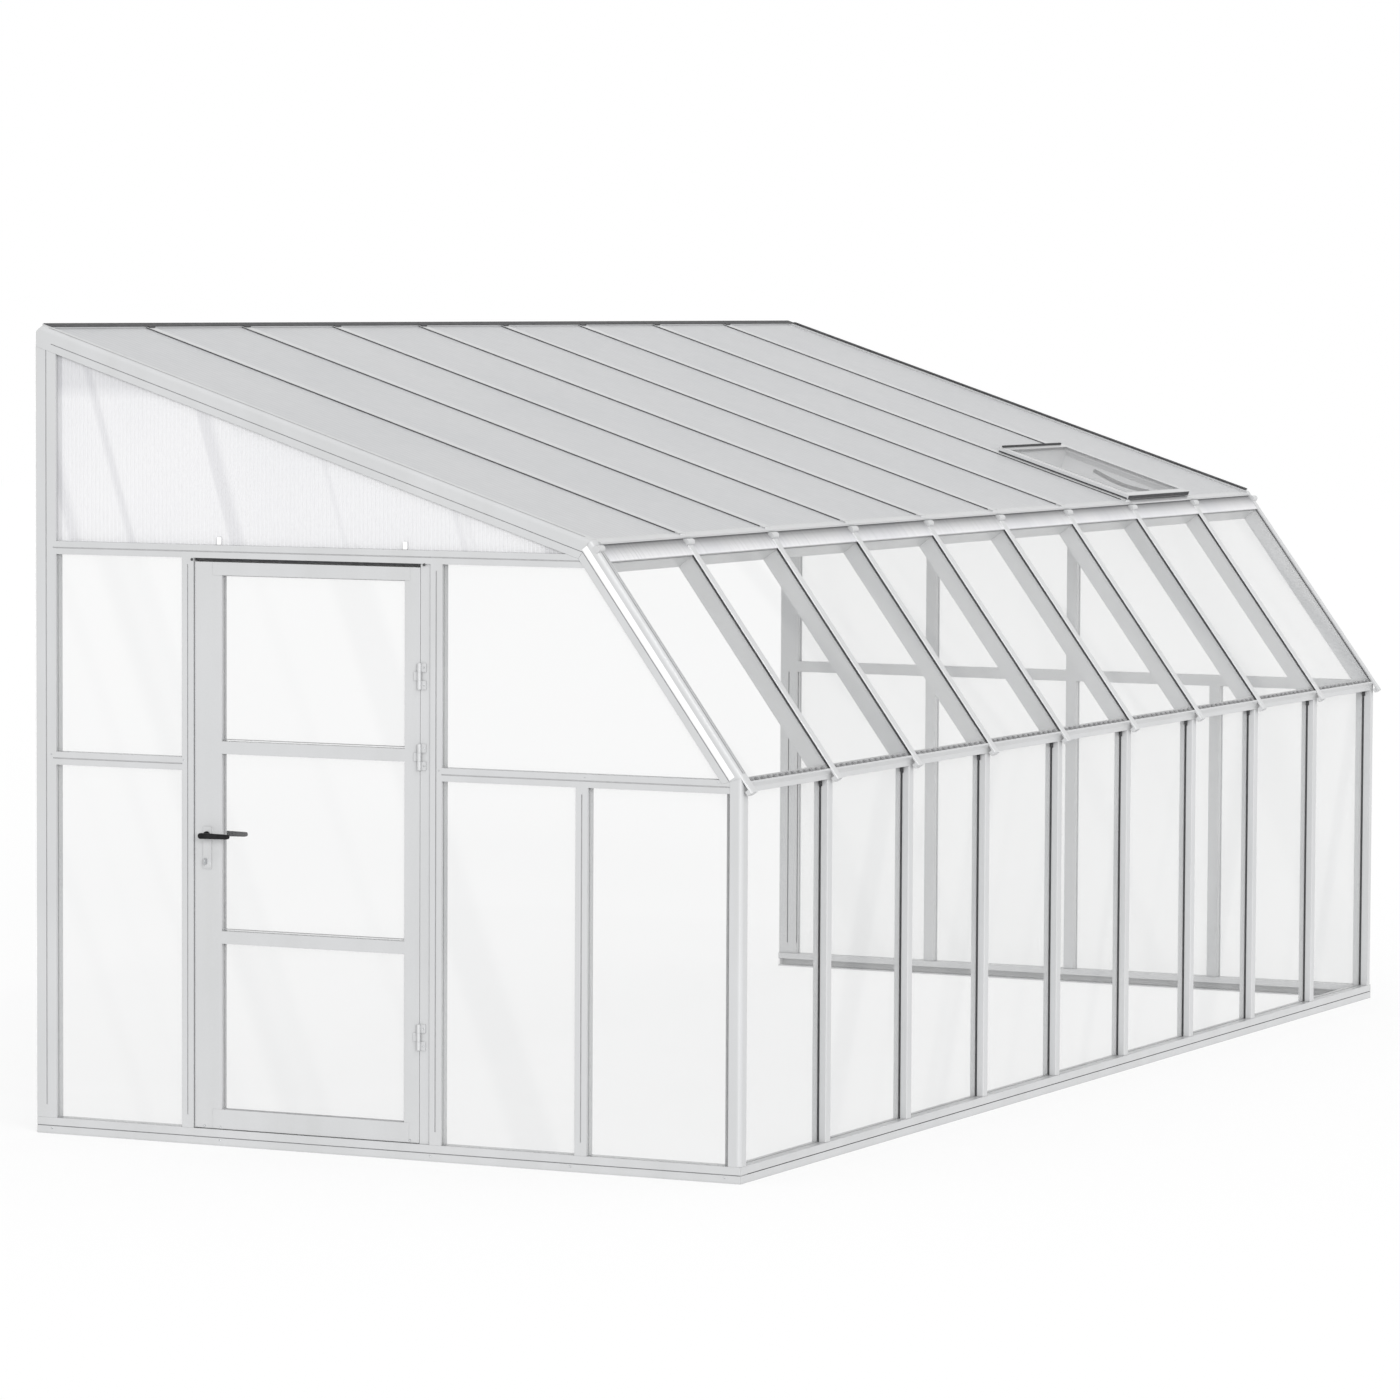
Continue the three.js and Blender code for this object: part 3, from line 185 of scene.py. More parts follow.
def shader_of(made):
    return made.node_tree.nodes["Principled BSDF"]


def node(made, kind, inputs=None, **values):
    added = made.node_tree.nodes.new(kind)
    for key, value in values.items():
        setattr(added, key, value)
    for key, value in (inputs or {}).items():
        added.inputs[key].default_value = value
    return added


def link(made, source, target):
    made.node_tree.links.new(source, target)


# Object coordinates, stretched by a scale for each axis
def coordinates(made, scale=(1, 1, 1)):
    source = node(made, "ShaderNodeTexCoord")
    mapping = node(made, "ShaderNodeMapping", {"Scale": scale})
    link(made, source.outputs["Object"], mapping.inputs["Vector"])
    return mapping.outputs["Vector"]


def split_axes(made):
    split = node(made, "ShaderNodeSeparateXYZ")
    link(made, coordinates(made), split.inputs["Vector"])
    return split.outputs


def noise(made, scale, detail=3, stretch=(1, 1, 1), roughness=0.5):
    texture = node(made, "ShaderNodeTexNoise", {"Scale": scale, "Detail": detail, "Roughness": roughness})
    link(made, coordinates(made, stretch), texture.inputs["Vector"])
    return texture.outputs["Fac"]


def ramp(made, factor, stops):
    made_ramp = node(made, "ShaderNodeValToRGB")
    band = made_ramp.color_ramp
    while len(band.elements) < len(stops):
        band.elements.new(0.5)
    for element, (place, color) in zip(band.elements, stops):
        element.position = place
        element.color = (*color, 1)
    link(made, factor, made_ramp.inputs["Fac"])
    return made_ramp.outputs["Color"]


def spread(made, factor, low, high, from_low=0.0, from_high=1.0):
    limits = {"From Min": from_low, "From Max": from_high, "To Min": low, "To Max": high}
    span = node(made, "ShaderNodeMapRange", limits)
    link(made, factor, span.inputs["Value"])
    return span.outputs["Result"]


def arithmetic(made, operation, source, value=None):
    second = {} if value is None else {1: value}
    added = node(made, "ShaderNodeMath", second, operation=operation)
    link(made, source, added.inputs[0])
    return added.outputs[0]


def multiply(made, first, second):
    mix = node(made, "ShaderNodeMix", data_type="RGBA", blend_type="MULTIPLY")
    mix.inputs["Factor"].default_value = 1.0
    link(made, first, mix.inputs["A"])
    link(made, second, mix.inputs["B"])
    return mix.outputs["Result"]


def bump(made, height, strength, distance, normal=None):
    added = node(made, "ShaderNodeBump", {"Strength": strength, "Distance": distance})
    link(made, height, added.inputs["Height"])
    if normal is not None:
        link(made, normal, added.inputs["Normal"])
    link(made, added.outputs["Normal"], shader_of(made).inputs["Normal"])


# Painted shade: the colour darkens where faces meet, by ambient occlusion, and is faint on open faces
def painted_crease_shade(made, reach, depth):
    shade = node(made, "ShaderNodeAmbientOcclusion", {"Distance": reach})
    shade.samples = 4
    return ramp(made, shade.outputs["AO"], [(0.0, (depth, depth, depth)), (0.75, (1, 1, 1))])


# Noise in slanting bands. On glass it gives painted reflections of a bright room; the gable sheet also
# uses it for faint slanting dashes
def slanting(made, across, scale):
    measure = node(made, "ShaderNodeVectorMath", {1: across}, operation="DOT_PRODUCT")
    link(made, coordinates(made), measure.inputs[0])
    bands = node(made, "ShaderNodeTexNoise", {"Scale": scale, "Detail": 1.0}, noise_dimensions="1D")
    link(made, measure.outputs["Value"], bands.inputs["W"])
    return bands.outputs["Fac"]


# Powder coat: even tone with faint speckle and streaks, fine grain and softened edges
def coat(name, light, dark, roughness):
    made = material(name, light, roughness, Coat_Weight=0.3, Coat_Roughness=0.22)
    shader = shader_of(made)
    tint = ramp(made, noise(made, 2.2, 4), [(0.35, dark), (0.65, light)])
    speckle = ramp(made, noise(made, 240, 2), [(0.3, (0.975, 0.975, 0.975)), (0.7, (1, 1, 1))])
    streak = ramp(made, noise(made, 9, 4, (1, 1, 0.12)), [(0.35, (0.968, 0.967, 0.962)), (0.6, (1, 1, 1))])
    color = multiply(made, multiply(made, tint, speckle), streak)
    # painted shade: the coat's colour darkens in creases
    link(made, multiply(made, color, painted_crease_shade(made, 0.02, 0.7)), shader.inputs["Base Color"])
    gloss = spread(made, noise(made, 30, 3), roughness - 0.06, roughness + 0.08)
    link(made, gloss, shader.inputs["Roughness"])
    edge = node(made, "ShaderNodeBevel", {"Radius": 0.0012})
    edge.samples = 4
    bump(made, noise(made, 1400, 2), 0.06, 0.0004, edge.outputs["Normal"])
    return made


# Clear glass: denser at a flat angle, with painted reflections in slanting streaks and a faint waviness
def clear_glass():
    made = material("clear_glass", (0.42, 0.425, 0.425), 0.03, IOR=1.5)
    shader = shader_of(made)
    facing = node(made, "ShaderNodeLayerWeight", {"Blend": 0.35})
    link(made, spread(made, facing.outputs["Facing"], 0.1, 0.16), shader.inputs["Alpha"])
    tint = ramp(made, noise(made, 1.3, 2), [(0.3, (0.46, 0.466, 0.468)), (0.7, (0.49, 0.495, 0.495))])
    bands = slanting(made, (0.9, 0.933, -0.359), 3.4)
    # painted reflections: slanting streaks darken the glass colour
    reflection_streaks = ramp(made, bands, [(0.36, (0.72, 0.73, 0.74)), (0.46, (1, 1, 1))])
    link(made, multiply(made, tint, reflection_streaks), shader.inputs["Base Color"])
    link(made, spread(made, noise(made, 14, 4), 0.02, 0.07), shader.inputs["Roughness"])
    bump(made, noise(made, 3.5, 2), 0.03, 0.002)
    return made


# Twin-wall sheet: dense lines where its ribs stand, paler flutes between them.
# Above the height shade_from, it is darker and has faint slanting dashes.
def ribbed_sheet(name, axis, pitch, rib, flute, alphas, shade_from=None):
    made = material(name, flute, 0.34)
    shader = shader_of(made)
    axes = split_axes(made)
    wave = arithmetic(made, "FRACT", arithmetic(made, "MULTIPLY", axes[axis], 1 / pitch))
    lines = arithmetic(made, "ABSOLUTE", arithmetic(made, "SUBTRACT", wave, 0.5))
    stripes = ramp(made, lines, [(0.34, flute), (0.46, rib)])
    cloud = ramp(made, noise(made, 1.6, 4), [(0.3, (0.955, 0.96, 0.965)), (0.7, (1, 1, 1))])
    color = multiply(made, stripes, cloud)
    if shade_from is not None:
        high = spread(made, axes["Z"], 0.0, 1.0, shade_from, shade_from + 0.05)
        color = multiply(made, color, ramp(made, high, [(0, (1, 1, 1)), (1, (0.83, 0.83, 0.84))]))
        dashes = slanting(made, (0, 1, -0.3), 9)
        color = multiply(made, color, ramp(made, dashes, [(0.33, (0.86, 0.86, 0.87)), (0.42, (1, 1, 1))]))
    link(made, color, shader.inputs["Base Color"])
    link(made, spread(made, lines, alphas[0], alphas[1], 0.34, 0.46), shader.inputs["Alpha"])
    link(made, spread(made, noise(made, 20, 3), 0.26, 0.42), shader.inputs["Roughness"])
    bump(made, lines, 0.25, 0.0008)
    return made


# Rubber with paler dust in patches
def rubber(name, color, dust):
    made = material(name, color, 0.7)
    shader = shader_of(made)
    link(made, ramp(made, noise(made, 60, 4), [(0.4, color), (0.75, dust)]), shader.inputs["Base Color"])
    link(made, spread(made, noise(made, 35, 2), 0.55, 0.85), shader.inputs["Roughness"])
    bump(made, noise(made, 900, 2), 0.15, 0.0003)
    return made


def satin_black(name):
    made = material(name, (0.01, 0.01, 0.011), 0.5, Specular_IOR_Level=0.12)
    shader = shader_of(made)
    tint = ramp(made, noise(made, 45, 3), [(0.35, (0.006, 0.006, 0.0065)), (0.7, (0.014, 0.014, 0.015))])
    link(made, tint, shader.inputs["Base Color"])
    link(made, spread(made, noise(made, 80, 3), 0.42, 0.58), shader.inputs["Roughness"])
    edge = node(made, "ShaderNodeBevel", {"Radius": 0.0015})
    bump(made, noise(made, 1600, 2), 0.08, 0.0003, edge.outputs["Normal"])
    return made


def brushed_steel(name, light, dark, stretch):
    made = material(name, light, 0.3, 1.0)
    shader = shader_of(made)
    grain = noise(made, 300, 4, stretch)
    link(made, ramp(made, grain, [(0.3, dark), (0.7, light)]), shader.inputs["Base Color"])
    link(made, spread(made, grain, 0.22, 0.44), shader.inputs["Roughness"])
    edge = node(made, "ShaderNodeBevel", {"Radius": 0.0008})
    bump(made, grain, 0.12, 0.0002, edge.outputs["Normal"])
    return made


# Frosted skirt under the eave with faint ribs. Its colour gradient is painted shadow: dark beneath the
# drip nose and pale at the glass
def skirt_with_painted_shadow(name, low, high):
    made = material(name, (0.4, 0.4, 0.41), 0.45)
    rise = spread(made, split_axes(made)["Z"], 0.0, 1.0, low, high)
    tones = ((0.0, 0.6), (0.4, 0.5), (0.75, 0.37), (1.0, 0.24))
    # painted shadow of the drip nose: darker towards the top
    nose_shadow = ramp(made, rise, [(place, (tone, tone, tone * 1.015)) for place, tone in tones])
    ribs = ramp(made, noise(made, 1, 2, (95, 0, 0), 0.7), [(0.38, (0.78, 0.78, 0.79)), (0.52, (1, 1, 1))])
    patches = ramp(made, noise(made, 4, 2), [(0.4, (0.93, 0.935, 0.95)), (0.6, (1, 1, 1))])
    link(made, multiply(made, multiply(made, nose_shadow, ribs), patches), shader_of(made).inputs["Base Color"])
    bump(made, noise(made, 1, 1, (140, 0, 0)), 0.3, 0.0006)
    return made


COAT = coat("powder_coat", light=(0.44, 0.444, 0.45), dark=(0.422, 0.427, 0.433), roughness=0.36)
# The pale coat is the white fittings' colour, and is also a painted highlight on the near end bar's corner
# strip
PALE_COAT_AND_HIGHLIGHT = coat("white_fittings_and_highlight", light=(0.7, 0.7, 0.7), dark=(0.67, 0.67, 0.675), roughness=0.32)
SEAL = rubber("black_rubber", color=(0.022, 0.022, 0.024), dust=(0.05, 0.05, 0.052))
SOFT_SEAL = rubber("grey_rubber", color=(0.16, 0.16, 0.165), dust=(0.22, 0.22, 0.225))
PALE_SEAL = rubber("pale_rubber", color=(0.30, 0.30, 0.305), dust=(0.36, 0.36, 0.365))
SKIRT = skirt_with_painted_shadow("skirt_with_painted_shadow", SKIRT_LOW, SKIRT_HIGH)
BLACK = satin_black("black_satin")
STEEL = brushed_steel("brushed_steel", (0.60, 0.61, 0.62), (0.48, 0.49, 0.50), stretch=(1, 0.1, 1))

FINISHES = {
    "frame": COAT,
    "glass": clear_glass(),
    "roof_sheet": ribbed_sheet(
        "ribbed_roof_sheet",
        axis="X",
        pitch=ROOF_RIB_PITCH,
        rib=(0.5, 0.505, 0.512),
        flute=(0.545, 0.55, 0.56),
        alphas=(0.72, 0.82),
    ),
    "gable_sheet": ribbed_sheet(
        "ribbed_gable_sheet",
        axis="Y",
        pitch=GABLE_RIB_PITCH,
        rib=(0.59, 0.59, 0.605),
        flute=(0.65, 0.65, 0.66),
        alphas=(0.55, 0.75),
        shade_from=GABLE_SHADE_HEIGHT,
    ),
    "vent_sheet": ribbed_sheet(
        "ribbed_vent_sheet",
        axis="X",
        pitch=ROOF_RIB_PITCH,
        rib=(0.46, 0.464, 0.47),
        flute=(0.52, 0.524, 0.53),
        alphas=(0.24, 0.3),
    ),
    "black": BLACK,
    "steel": STEEL,
    "stay": satin_black("black_stay"),
}


def finish_of(name, slot):
    if slot != "sheet":
        return FINISHES[slot]
    if name == "vent_pane":
        return FINISHES["vent_sheet"]
    return FINISHES["gable_sheet" if "top_sheet" in name else "roof_sheet"]


def dress_nodes():
    slots = {entry["node"]: entry["material_slot"] for entry in frame["record"]["subparts"]}
    for name, obj in nodes.items():
        obj.data.materials.clear()
        obj.data.materials.append(finish_of(name, slots[name]))


# Mesh code: a loft joins rings of the same count, and its two ends are closed
def loft(form, rings):
    loops = [[form.verts.new(point) for point in ring] for ring in rings]
    count = len(loops[0])
    for low, high in zip(loops, loops[1:]):
        for i in range(count):
            j = (i + 1) % count
            form.faces.new((low[i], low[j], high[j], high[i]))
    form.faces.new(tuple(reversed(loops[0])))
    form.faces.new(tuple(loops[-1]))


# Outline of a rectangle with rounded corners
def rounded(low_a, low_b, high_a, high_b, radius):
    steps = 2
    corners = ((high_a, high_b, 0), (low_a, high_b, 1), (low_a, low_b, 2), (high_a, low_b, 3))
    outline = []
    for a, b, quarter in corners:
        centre_a = a - radius if a == high_a else a + radius
        centre_b = b - radius if b == high_b else b + radius
        for step in range(steps + 1):
            turn = (quarter + step / steps) * math.pi / 2
            outline.append((centre_a + radius * math.cos(turn), centre_b + radius * math.sin(turn)))
    return outline


def ring(radius, count):
    turns = [2 * math.pi * i / count for i in range(count)]
    return [(radius * math.cos(turn), radius * math.sin(turn)) for turn in turns]


# A bar on a facet that runs uphill: its outline is in X and inward
def uphill_bar(form, place, outline, low, high):
    loft(form, [[place(a, b, up) for a, b in outline] for up in (low, high)])


# A bar on a facet that runs along X: its outline is in inward and uphill
def long_bar(form, place, outline, low, high):
    loft(form, [[place(x, a, b) for a, b in outline] for x in (low, high)])


# A bar that stands upright: its outline is in X and Y
def upright_bar(form, outline, low, high):
    loft(form, [[at(a, b, z) for a, b in outline] for z in (low, high)])


# A level bar that runs along Y: its outline is in X and Z
def level_bar(form, outline, low, high):
    loft(form, [[at(a, y, b) for a, b in outline] for y in (low, high)])


# A round-cornered brick in the building's own axes, with its edges eased all round
def brick(form, low, high, radius):
    eased = [(0, radius), (radius * 0.3, radius * 0.3), (radius, 0)]
    near = [(low[0] + depth, inset) for depth, inset in eased]
    far = [(high[0] - depth, inset) for depth, inset in reversed(eased)]
    rings = []
    for x, inset in near + far:
        outline = rounded(low[1] + inset, low[2] + inset, high[1] - inset, high[2] - inset, radius)
        rings.append([at(x, y, z) for y, z in outline])
    loft(form, rings)


# A domed head with a dished middle, on a face that looks towards -X
def screw(form, face, y, z, radius):
    sides = 14
    rings = []
    for out, share in SCREW_RINGS:
        rings.append([at(face - out, y + a, z + b) for a, b in ring(radius * share, sides)])
    loft(form, rings)


def piece(name, body, finish, build):
    form = bmesh.new()
    build(form)
    bmesh.ops.recalc_face_normals(form, faces=form.faces)
    mesh = bpy.data.meshes.new(name)
    form.to_mesh(mesh)
    form.free()
    obj = bpy.data.objects.new(name, mesh)
    bpy.context.scene.collection.objects.link(obj)
    mesh.materials.append(finish)
    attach(obj, body)


# Both sides of every bar, as bay line, X and the way that the side looks
def bar_sides(half):
    sides = []
    for index in range(BAYS + 1):
        reach = END_BAR / 2 if index in (0, BAYS) else half
        if index > 0:
            sides.append((index, line(index) - reach, -1))
        if index < BAYS:
            sides.append((index, line(index) + reach, 1))
    return sides


# Outline of a thin strip that lies on the side of a bar
def side_strip(x, way, low, high):
    a, b = sorted((x + way * TOUCH, x + way * GASKET))
    return rounded(a, low, b, high, min(0.5, (high - low) / 4))


# Gaskets in front of the wall glass, on both sides of each post
def post_gaskets(form):
    for _, x, way in bar_sides(BAR_HALF):
        uphill_bar(form, FRONT, side_strip(x, way, 28.5, WALL_GLASS - CLEAR), POST_LOW, POST_HIGH)


# Black wedges on each post's near side, under the knee beam, widening upward: a dark shape standing in for
# the knee beam's shadow, as painted shadow
def post_shadow_wedges(form):
    reach = 14
    for _, x, way in bar_sides(BAR_HALF):
        if way > 0:
            continue
        rings = []
        for z, share in ((1291, 0.15), (1298, 0.8), (1306, 1.0), (1313, 1.0)):
            out = x - GASKET - 0.3 - reach * share
            outline = rounded(out, 24, x - GASKET - 0.2, WALL_GLASS - CLEAR, 1.0)
            rings.append([FRONT(a, b, z) for a, b in outline])
        loft(form, rings)


# Gaskets beside the caps of the inner sloped bars, below and above the eave beam's lip
def slope_gaskets(form):
    for index, x, way in bar_sides(BAR_HALF):
        if index in (0, BAYS):
            continue
        strip = side_strip(x, way, 3.2, SLOPE_CAP - 0.1)
        uphill_bar(form, SLOPE, strip, -13.5, EAVE_FOOT - 0.5)
        uphill_bar(form, SLOPE, strip, EAVE_FOOT + EAVE_LIP + 0.5, SLOPE_LENGTH - 36)


# Gaskets beside the two end bars of the slope
def end_gaskets(form):
    for x, way in ((END_BAR, 1), (LENGTH - END_BAR, -1)):
        strip = side_strip(x, way, 4.8, SLOPE_CAP - 0.1)
        uphill_bar(form, SLOPE, strip, 8, EAVE_FOOT - 0.5)


# Gaskets beside the rafters' caps. Beside the vent, they start above its header
def rafter_gaskets(form):
    for index, x, way in bar_sides(ROOF_CAP_HALF)[:-1]:
        strip = side_strip(x, way, 1.8, ROOF_CAP - 0.1)
        beside_vent = (index == VENT_BAY and way > 0) or (index == VENT_BAY + 1 and way < 0)
        low = HEAD_TOP + 0.5 if beside_vent else 20
        uphill_bar(form, ROOF, strip, low, PLATE_FOOT - 0.5)


# Serrated gasket: small teeth that stand on the knee beam's lip against the slope glass
def knee_teeth(form):
    outline = [(2.4, -13.9), (7.9, -13.9), (7.9, -2.2), (7.0, -1.4), (5.0, -2.4), (2.4, -9.0)]
    for bay in range(BAYS):
        low, high = line(bay) + 34, line(bay + 1) - 30
        count = int((high - low) / TOOTH_PITCH)
        for i in range(count):
            x = low + i * (high - low) / count
            long_bar(form, SLOPE, outline, x, x + TOOTH_WIDTH)


# Thin skirt in each bay, from the eave beam's lip up to the drip nose
def eave_skirts(form):
    foot, lip, nose = EAVE_FOOT + 0.6, EAVE_FOOT + EAVE_LIP + 2, SLOPE_LENGTH - 14
    outline = [(1.4, foot), (1.4, lip), (6, nose), (7.4, nose), (2.8, lip), (2.8, foot)]
    for bay in range(BAYS):
        low = END_BAR if bay == 0 else line(bay) + BAR_HALF
        high = LENGTH - END_BAR if bay == BAYS - 1 else line(bay + 1) - BAR_HALF
        long_bar(form, SLOPE, outline, low + 0.6, high - 0.6)


# Flat seal along the top of the wall plate
def ridge_seal(form):
    plate = rounded(-2.5, PLATE_FOOT, -TOUCH, ROOF_LENGTH - 2, 1)
    long_bar(form, ROOF, plate, END_BAR + 2, LENGTH - 2)


# Small block on the upper end of each inner rafter, below the wall plate's seal
def ridge_blocks(form):
    block = rounded(-4, ROOF_LENGTH - 53, -TOUCH, PLATE_FOOT - 0.5, 1.5)
    for index in range(1, BAYS):
        long_bar(form, ROOF, block, line(index) - 20, line(index) + 20)


# A strip in the groove of a gable's post or rail. The gable is given by its face and the way inward
def post_strip(form, face, way, y, half, depth, low, high):
    outline = rounded(y - half, depth, y + half, GROOVE_FLOOR, 0.5)
    loft(form, [[at(face + way * b, a, z) for a, b in outline] for z in (low, high)])


def rail_strip(form, face, way, z, low, high):
    outline = rounded(z - 1.9, 0.9, z + 1.9, GROOVE_FLOOR, 0.5)
    loft(form, [[at(face + way * b, y, a) for a, b in outline] for y in (low, high)])


def gable_strips(form):
    for y, low, high in NEAR_POSTS:
        post_strip(form, 0, 1, y, 1.5, 1.4, low, high)
    for z, low, high in NEAR_RAILS:
        rail_strip(form, 0, 1, z, low, high)


def far_strips(form):
    for y, low, high in FAR_POSTS:
        post_strip(form, LENGTH, -1, y, 1.9, 0.9, low, high)
    for z, low, high in FAR_RAILS:
        rail_strip(form, LENGTH, -1, z, low, high)


# Two gaskets on the inner face of the far house post
def far_post_gaskets(form):
    face = LENGTH - END_BAR
    for y in (2676, 2722):
        upright_bar(form, rounded(face - 1.8, y - 1.8, face - TOUCH, y + 1.8, 0.6), 104, 1311)


# Fine seams along the near end bar and its rafter
def corner_seams(form):
    for x in (20, 33):
        uphill_bar(form, SLOPE, rounded(x, -0.6, x + 2.6, -TOUCH, 0.2), 16, SLOPE_LENGTH - 30)
    uphill_bar(form, ROOF, rounded(14, -0.6, 16.4, -TOUCH, 0.2), 30, ROOF_LENGTH - 46)


# Two raised beads along the near end bar's cap
def corner_beads(form):
    for low, top, high, radius in ((24.5, -2.2, 30.5, 1), (37.5, -1.4, 43, 0.6)):
        uphill_bar(form, SLOPE, rounded(low, top, high, -TOUCH, radius), 16, SLOPE_LENGTH - 30)


# Raised strip on the near end bar's gable face, between its seam and its corner. It is in the paler coat,
# as a painted highlight
def corner_highlight_strip(form):
    crown = [(-0.1, 46.5), (-1, 44), (-1.5, 38), (-1.5, 32), (-1, 26), (-0.1, 23.5)]
    uphill_bar(form, SLOPE, crown + [(0.4, 23.5), (0.4, 46.5)], 18, SLOPE_LENGTH - 8)


# Thick seal along the outer edge of the far end rafter
def far_edge_seal(form):
    outline = rounded(LENGTH - 24, -7, LENGTH - 0.5, -TOUCH, 2.4)
    uphill_bar(form, ROOF, outline, 14, PLATE_FOOT - 0.5)


# Seals on the vent: its front face, its two sides, and the strip by its hinges
def vent_seals(form):
    near, far = VENT_SIDES
    front = rounded(-16.5, VENT_LOW - 1.6, -2.4, VENT_LOW - TOUCH, 0.6)
    long_bar(form, ROOF, front, near + 3, far - 3)
    for face, way in ((near, -1), (far, 1)):
        a, b = sorted((face + way * TOUCH, face + way * 1.4))
        uphill_bar(form, ROOF, rounded(a, -6.4, b, -1.6, 0.4), VENT_LOW + 4, VENT_HIGH - 4)
    hinge = rounded(-27, VENT_HIGH - 9, -19 - TOUCH, VENT_HIGH - 1, 2)
    long_bar(form, ROOF, hinge, near + 22, far - 36)


# Curved sleeve around the vent's stay, from just past its pivot to its end
def stay_sleeve(form):
    wide, thick = SLEEVE_WIDE / 2, SLEEVE_THICK / 2
    rings = []
    for step in range(SLEEVE_STEPS + 1):
        share = SLEEVE_START + SLEEVE_SPAN * step / SLEEVE_STEPS
        up = STAY_FROM + STAY_LENGTH * share
        middle = STAY_MIDDLE + STAY_SAG * math.sin(math.pi * min(share, 1))
        outline = rounded(STAY_X - wide, middle - thick, STAY_X + wide, middle + thick, SLEEVE_ROUND)
        rings.append([ROOF(a, b, up) for a, b in outline])
    loft(form, rings)


# Seam strips that follow the two end bars up the slope and along the roof
def end_seams(form):
    for x in (0.5, LENGTH - 1.9):
        outline = rounded(x, 48.2, x + 1.4, 50.3, 0.4)
        uphill_bar(form, SLOPE, outline, 17, SLOPE_LENGTH - 17)
        uphill_bar(form, ROOF, outline, 17, ROOF_LENGTH - 81)


# Seams in the grooves of the base rails: thin on the gables, and thicker along the front
def base_seams(form):
    profile = rounded(1.6, 27.1, 2.95, 29.9, 0.5)
    for face, way in ((0, 1), (LENGTH, -1)):
        level_bar(form, [(face + way * a, b) for a, b in profile], 3, DEPTH - 1)


def front_base_seam(form):
    profile = rounded(0.9, 26.4, 2.95, 30.4, 0.5)
    loft(form, [[at(x, a, b) for a, b in profile] for x in (FRONT_SEAM_START, LENGTH - 3)])


# Flat trim that closes the gap between the house posts and the wall
def wall_trims(form):
    for low, high in ((2, 40), (LENGTH - 40, LENGTH - 2)):
        brick(form, (low, DEPTH + TOUCH, 2), (high, DEPTH + 6, 2792), 1.2)


# Pegs that stand on the near gable's top rail, over the door's corners
def gable_pegs(form):
    for y in (2020, 1286):
        brick(form, (2, y - 8.5, 2100 + TOUCH), (11, y + 8.5, 2128), 2.2)


# Dark strip in the gap over the door, where the recessed leaf leaves shade: painted shade
def door_head_shade_strip(form):
    level_bar(form, rounded(10, 2046, 38, 2053.9, 1.5), 1200, 2116)


# Round buffers at the door opening's upper corners
def door_buffers(form):
    for y, z in ((2126, 2048), (1208, 2051)):
        rings = []
        for out, radius in ((TOUCH, 5), (2, 4.6), (3, 3)):
            rings.append([at(-out, y + a, z + b) for a, b in ring(radius, 12)])
        loft(form, rings)


# Screws through the near gable's base rail and mid rails
def frame_screws(form):
    for y in BASE_SCREWS_Y:
        screw(form, 0.05, y, BASE_SCREW_HEIGHT, 3.6)
    for y in RAIL_SCREWS_Y:
        screw(form, 0.05, y, RAIL_SCREW_HEIGHT, 2.6)


# Screws through the door leaf's kick rail
def door_screws(form):
    for y, z in KICK_SCREWS:
        screw(form, 5.05, y, z, 3.4)


# Gaskets around the glass of the door, on the edge of each stile and rail
def door_gaskets(form):
    wide, thick = 3.2, 2.4
    low_y, high_y = PANE_LOW_Y + TOUCH, PANE_HIGH_Y - TOUCH
    for low_z, high_z in PANE_ROWS:
        for x in (17.2, 25.4):
            for y in (low_y, high_y - thick):
                upright_bar(form, rounded(x, y, x + wide, y + thick, 0.7), low_z, high_z)
            for z in (low_z, high_z - thick):
                level_bar(form, rounded(x, z, x + wide, z + thick, 0.7), low_y + 2.5, high_y - 2.5)


# Screws of the hinges: two on each fixed flap, and one on each flap of the leaf
def hinge_screws(form):
    for z in HINGE_HEIGHTS:
        for rise in (-HINGE_SCREW_RISE, HINGE_SCREW_RISE):
            screw(form, 1.95, 1208, z + rise, 2.8)


def leaf_screws(form):
    for z in HINGE_HEIGHTS:
        screw(form, 1.95, 1232, z, 2.8)


# Plate behind the outer lever and the lock cylinder
def escutcheon(form):
    brick(form, (1.6, 2049.5, 975), (2.97, 2083, 1118), 0.65)


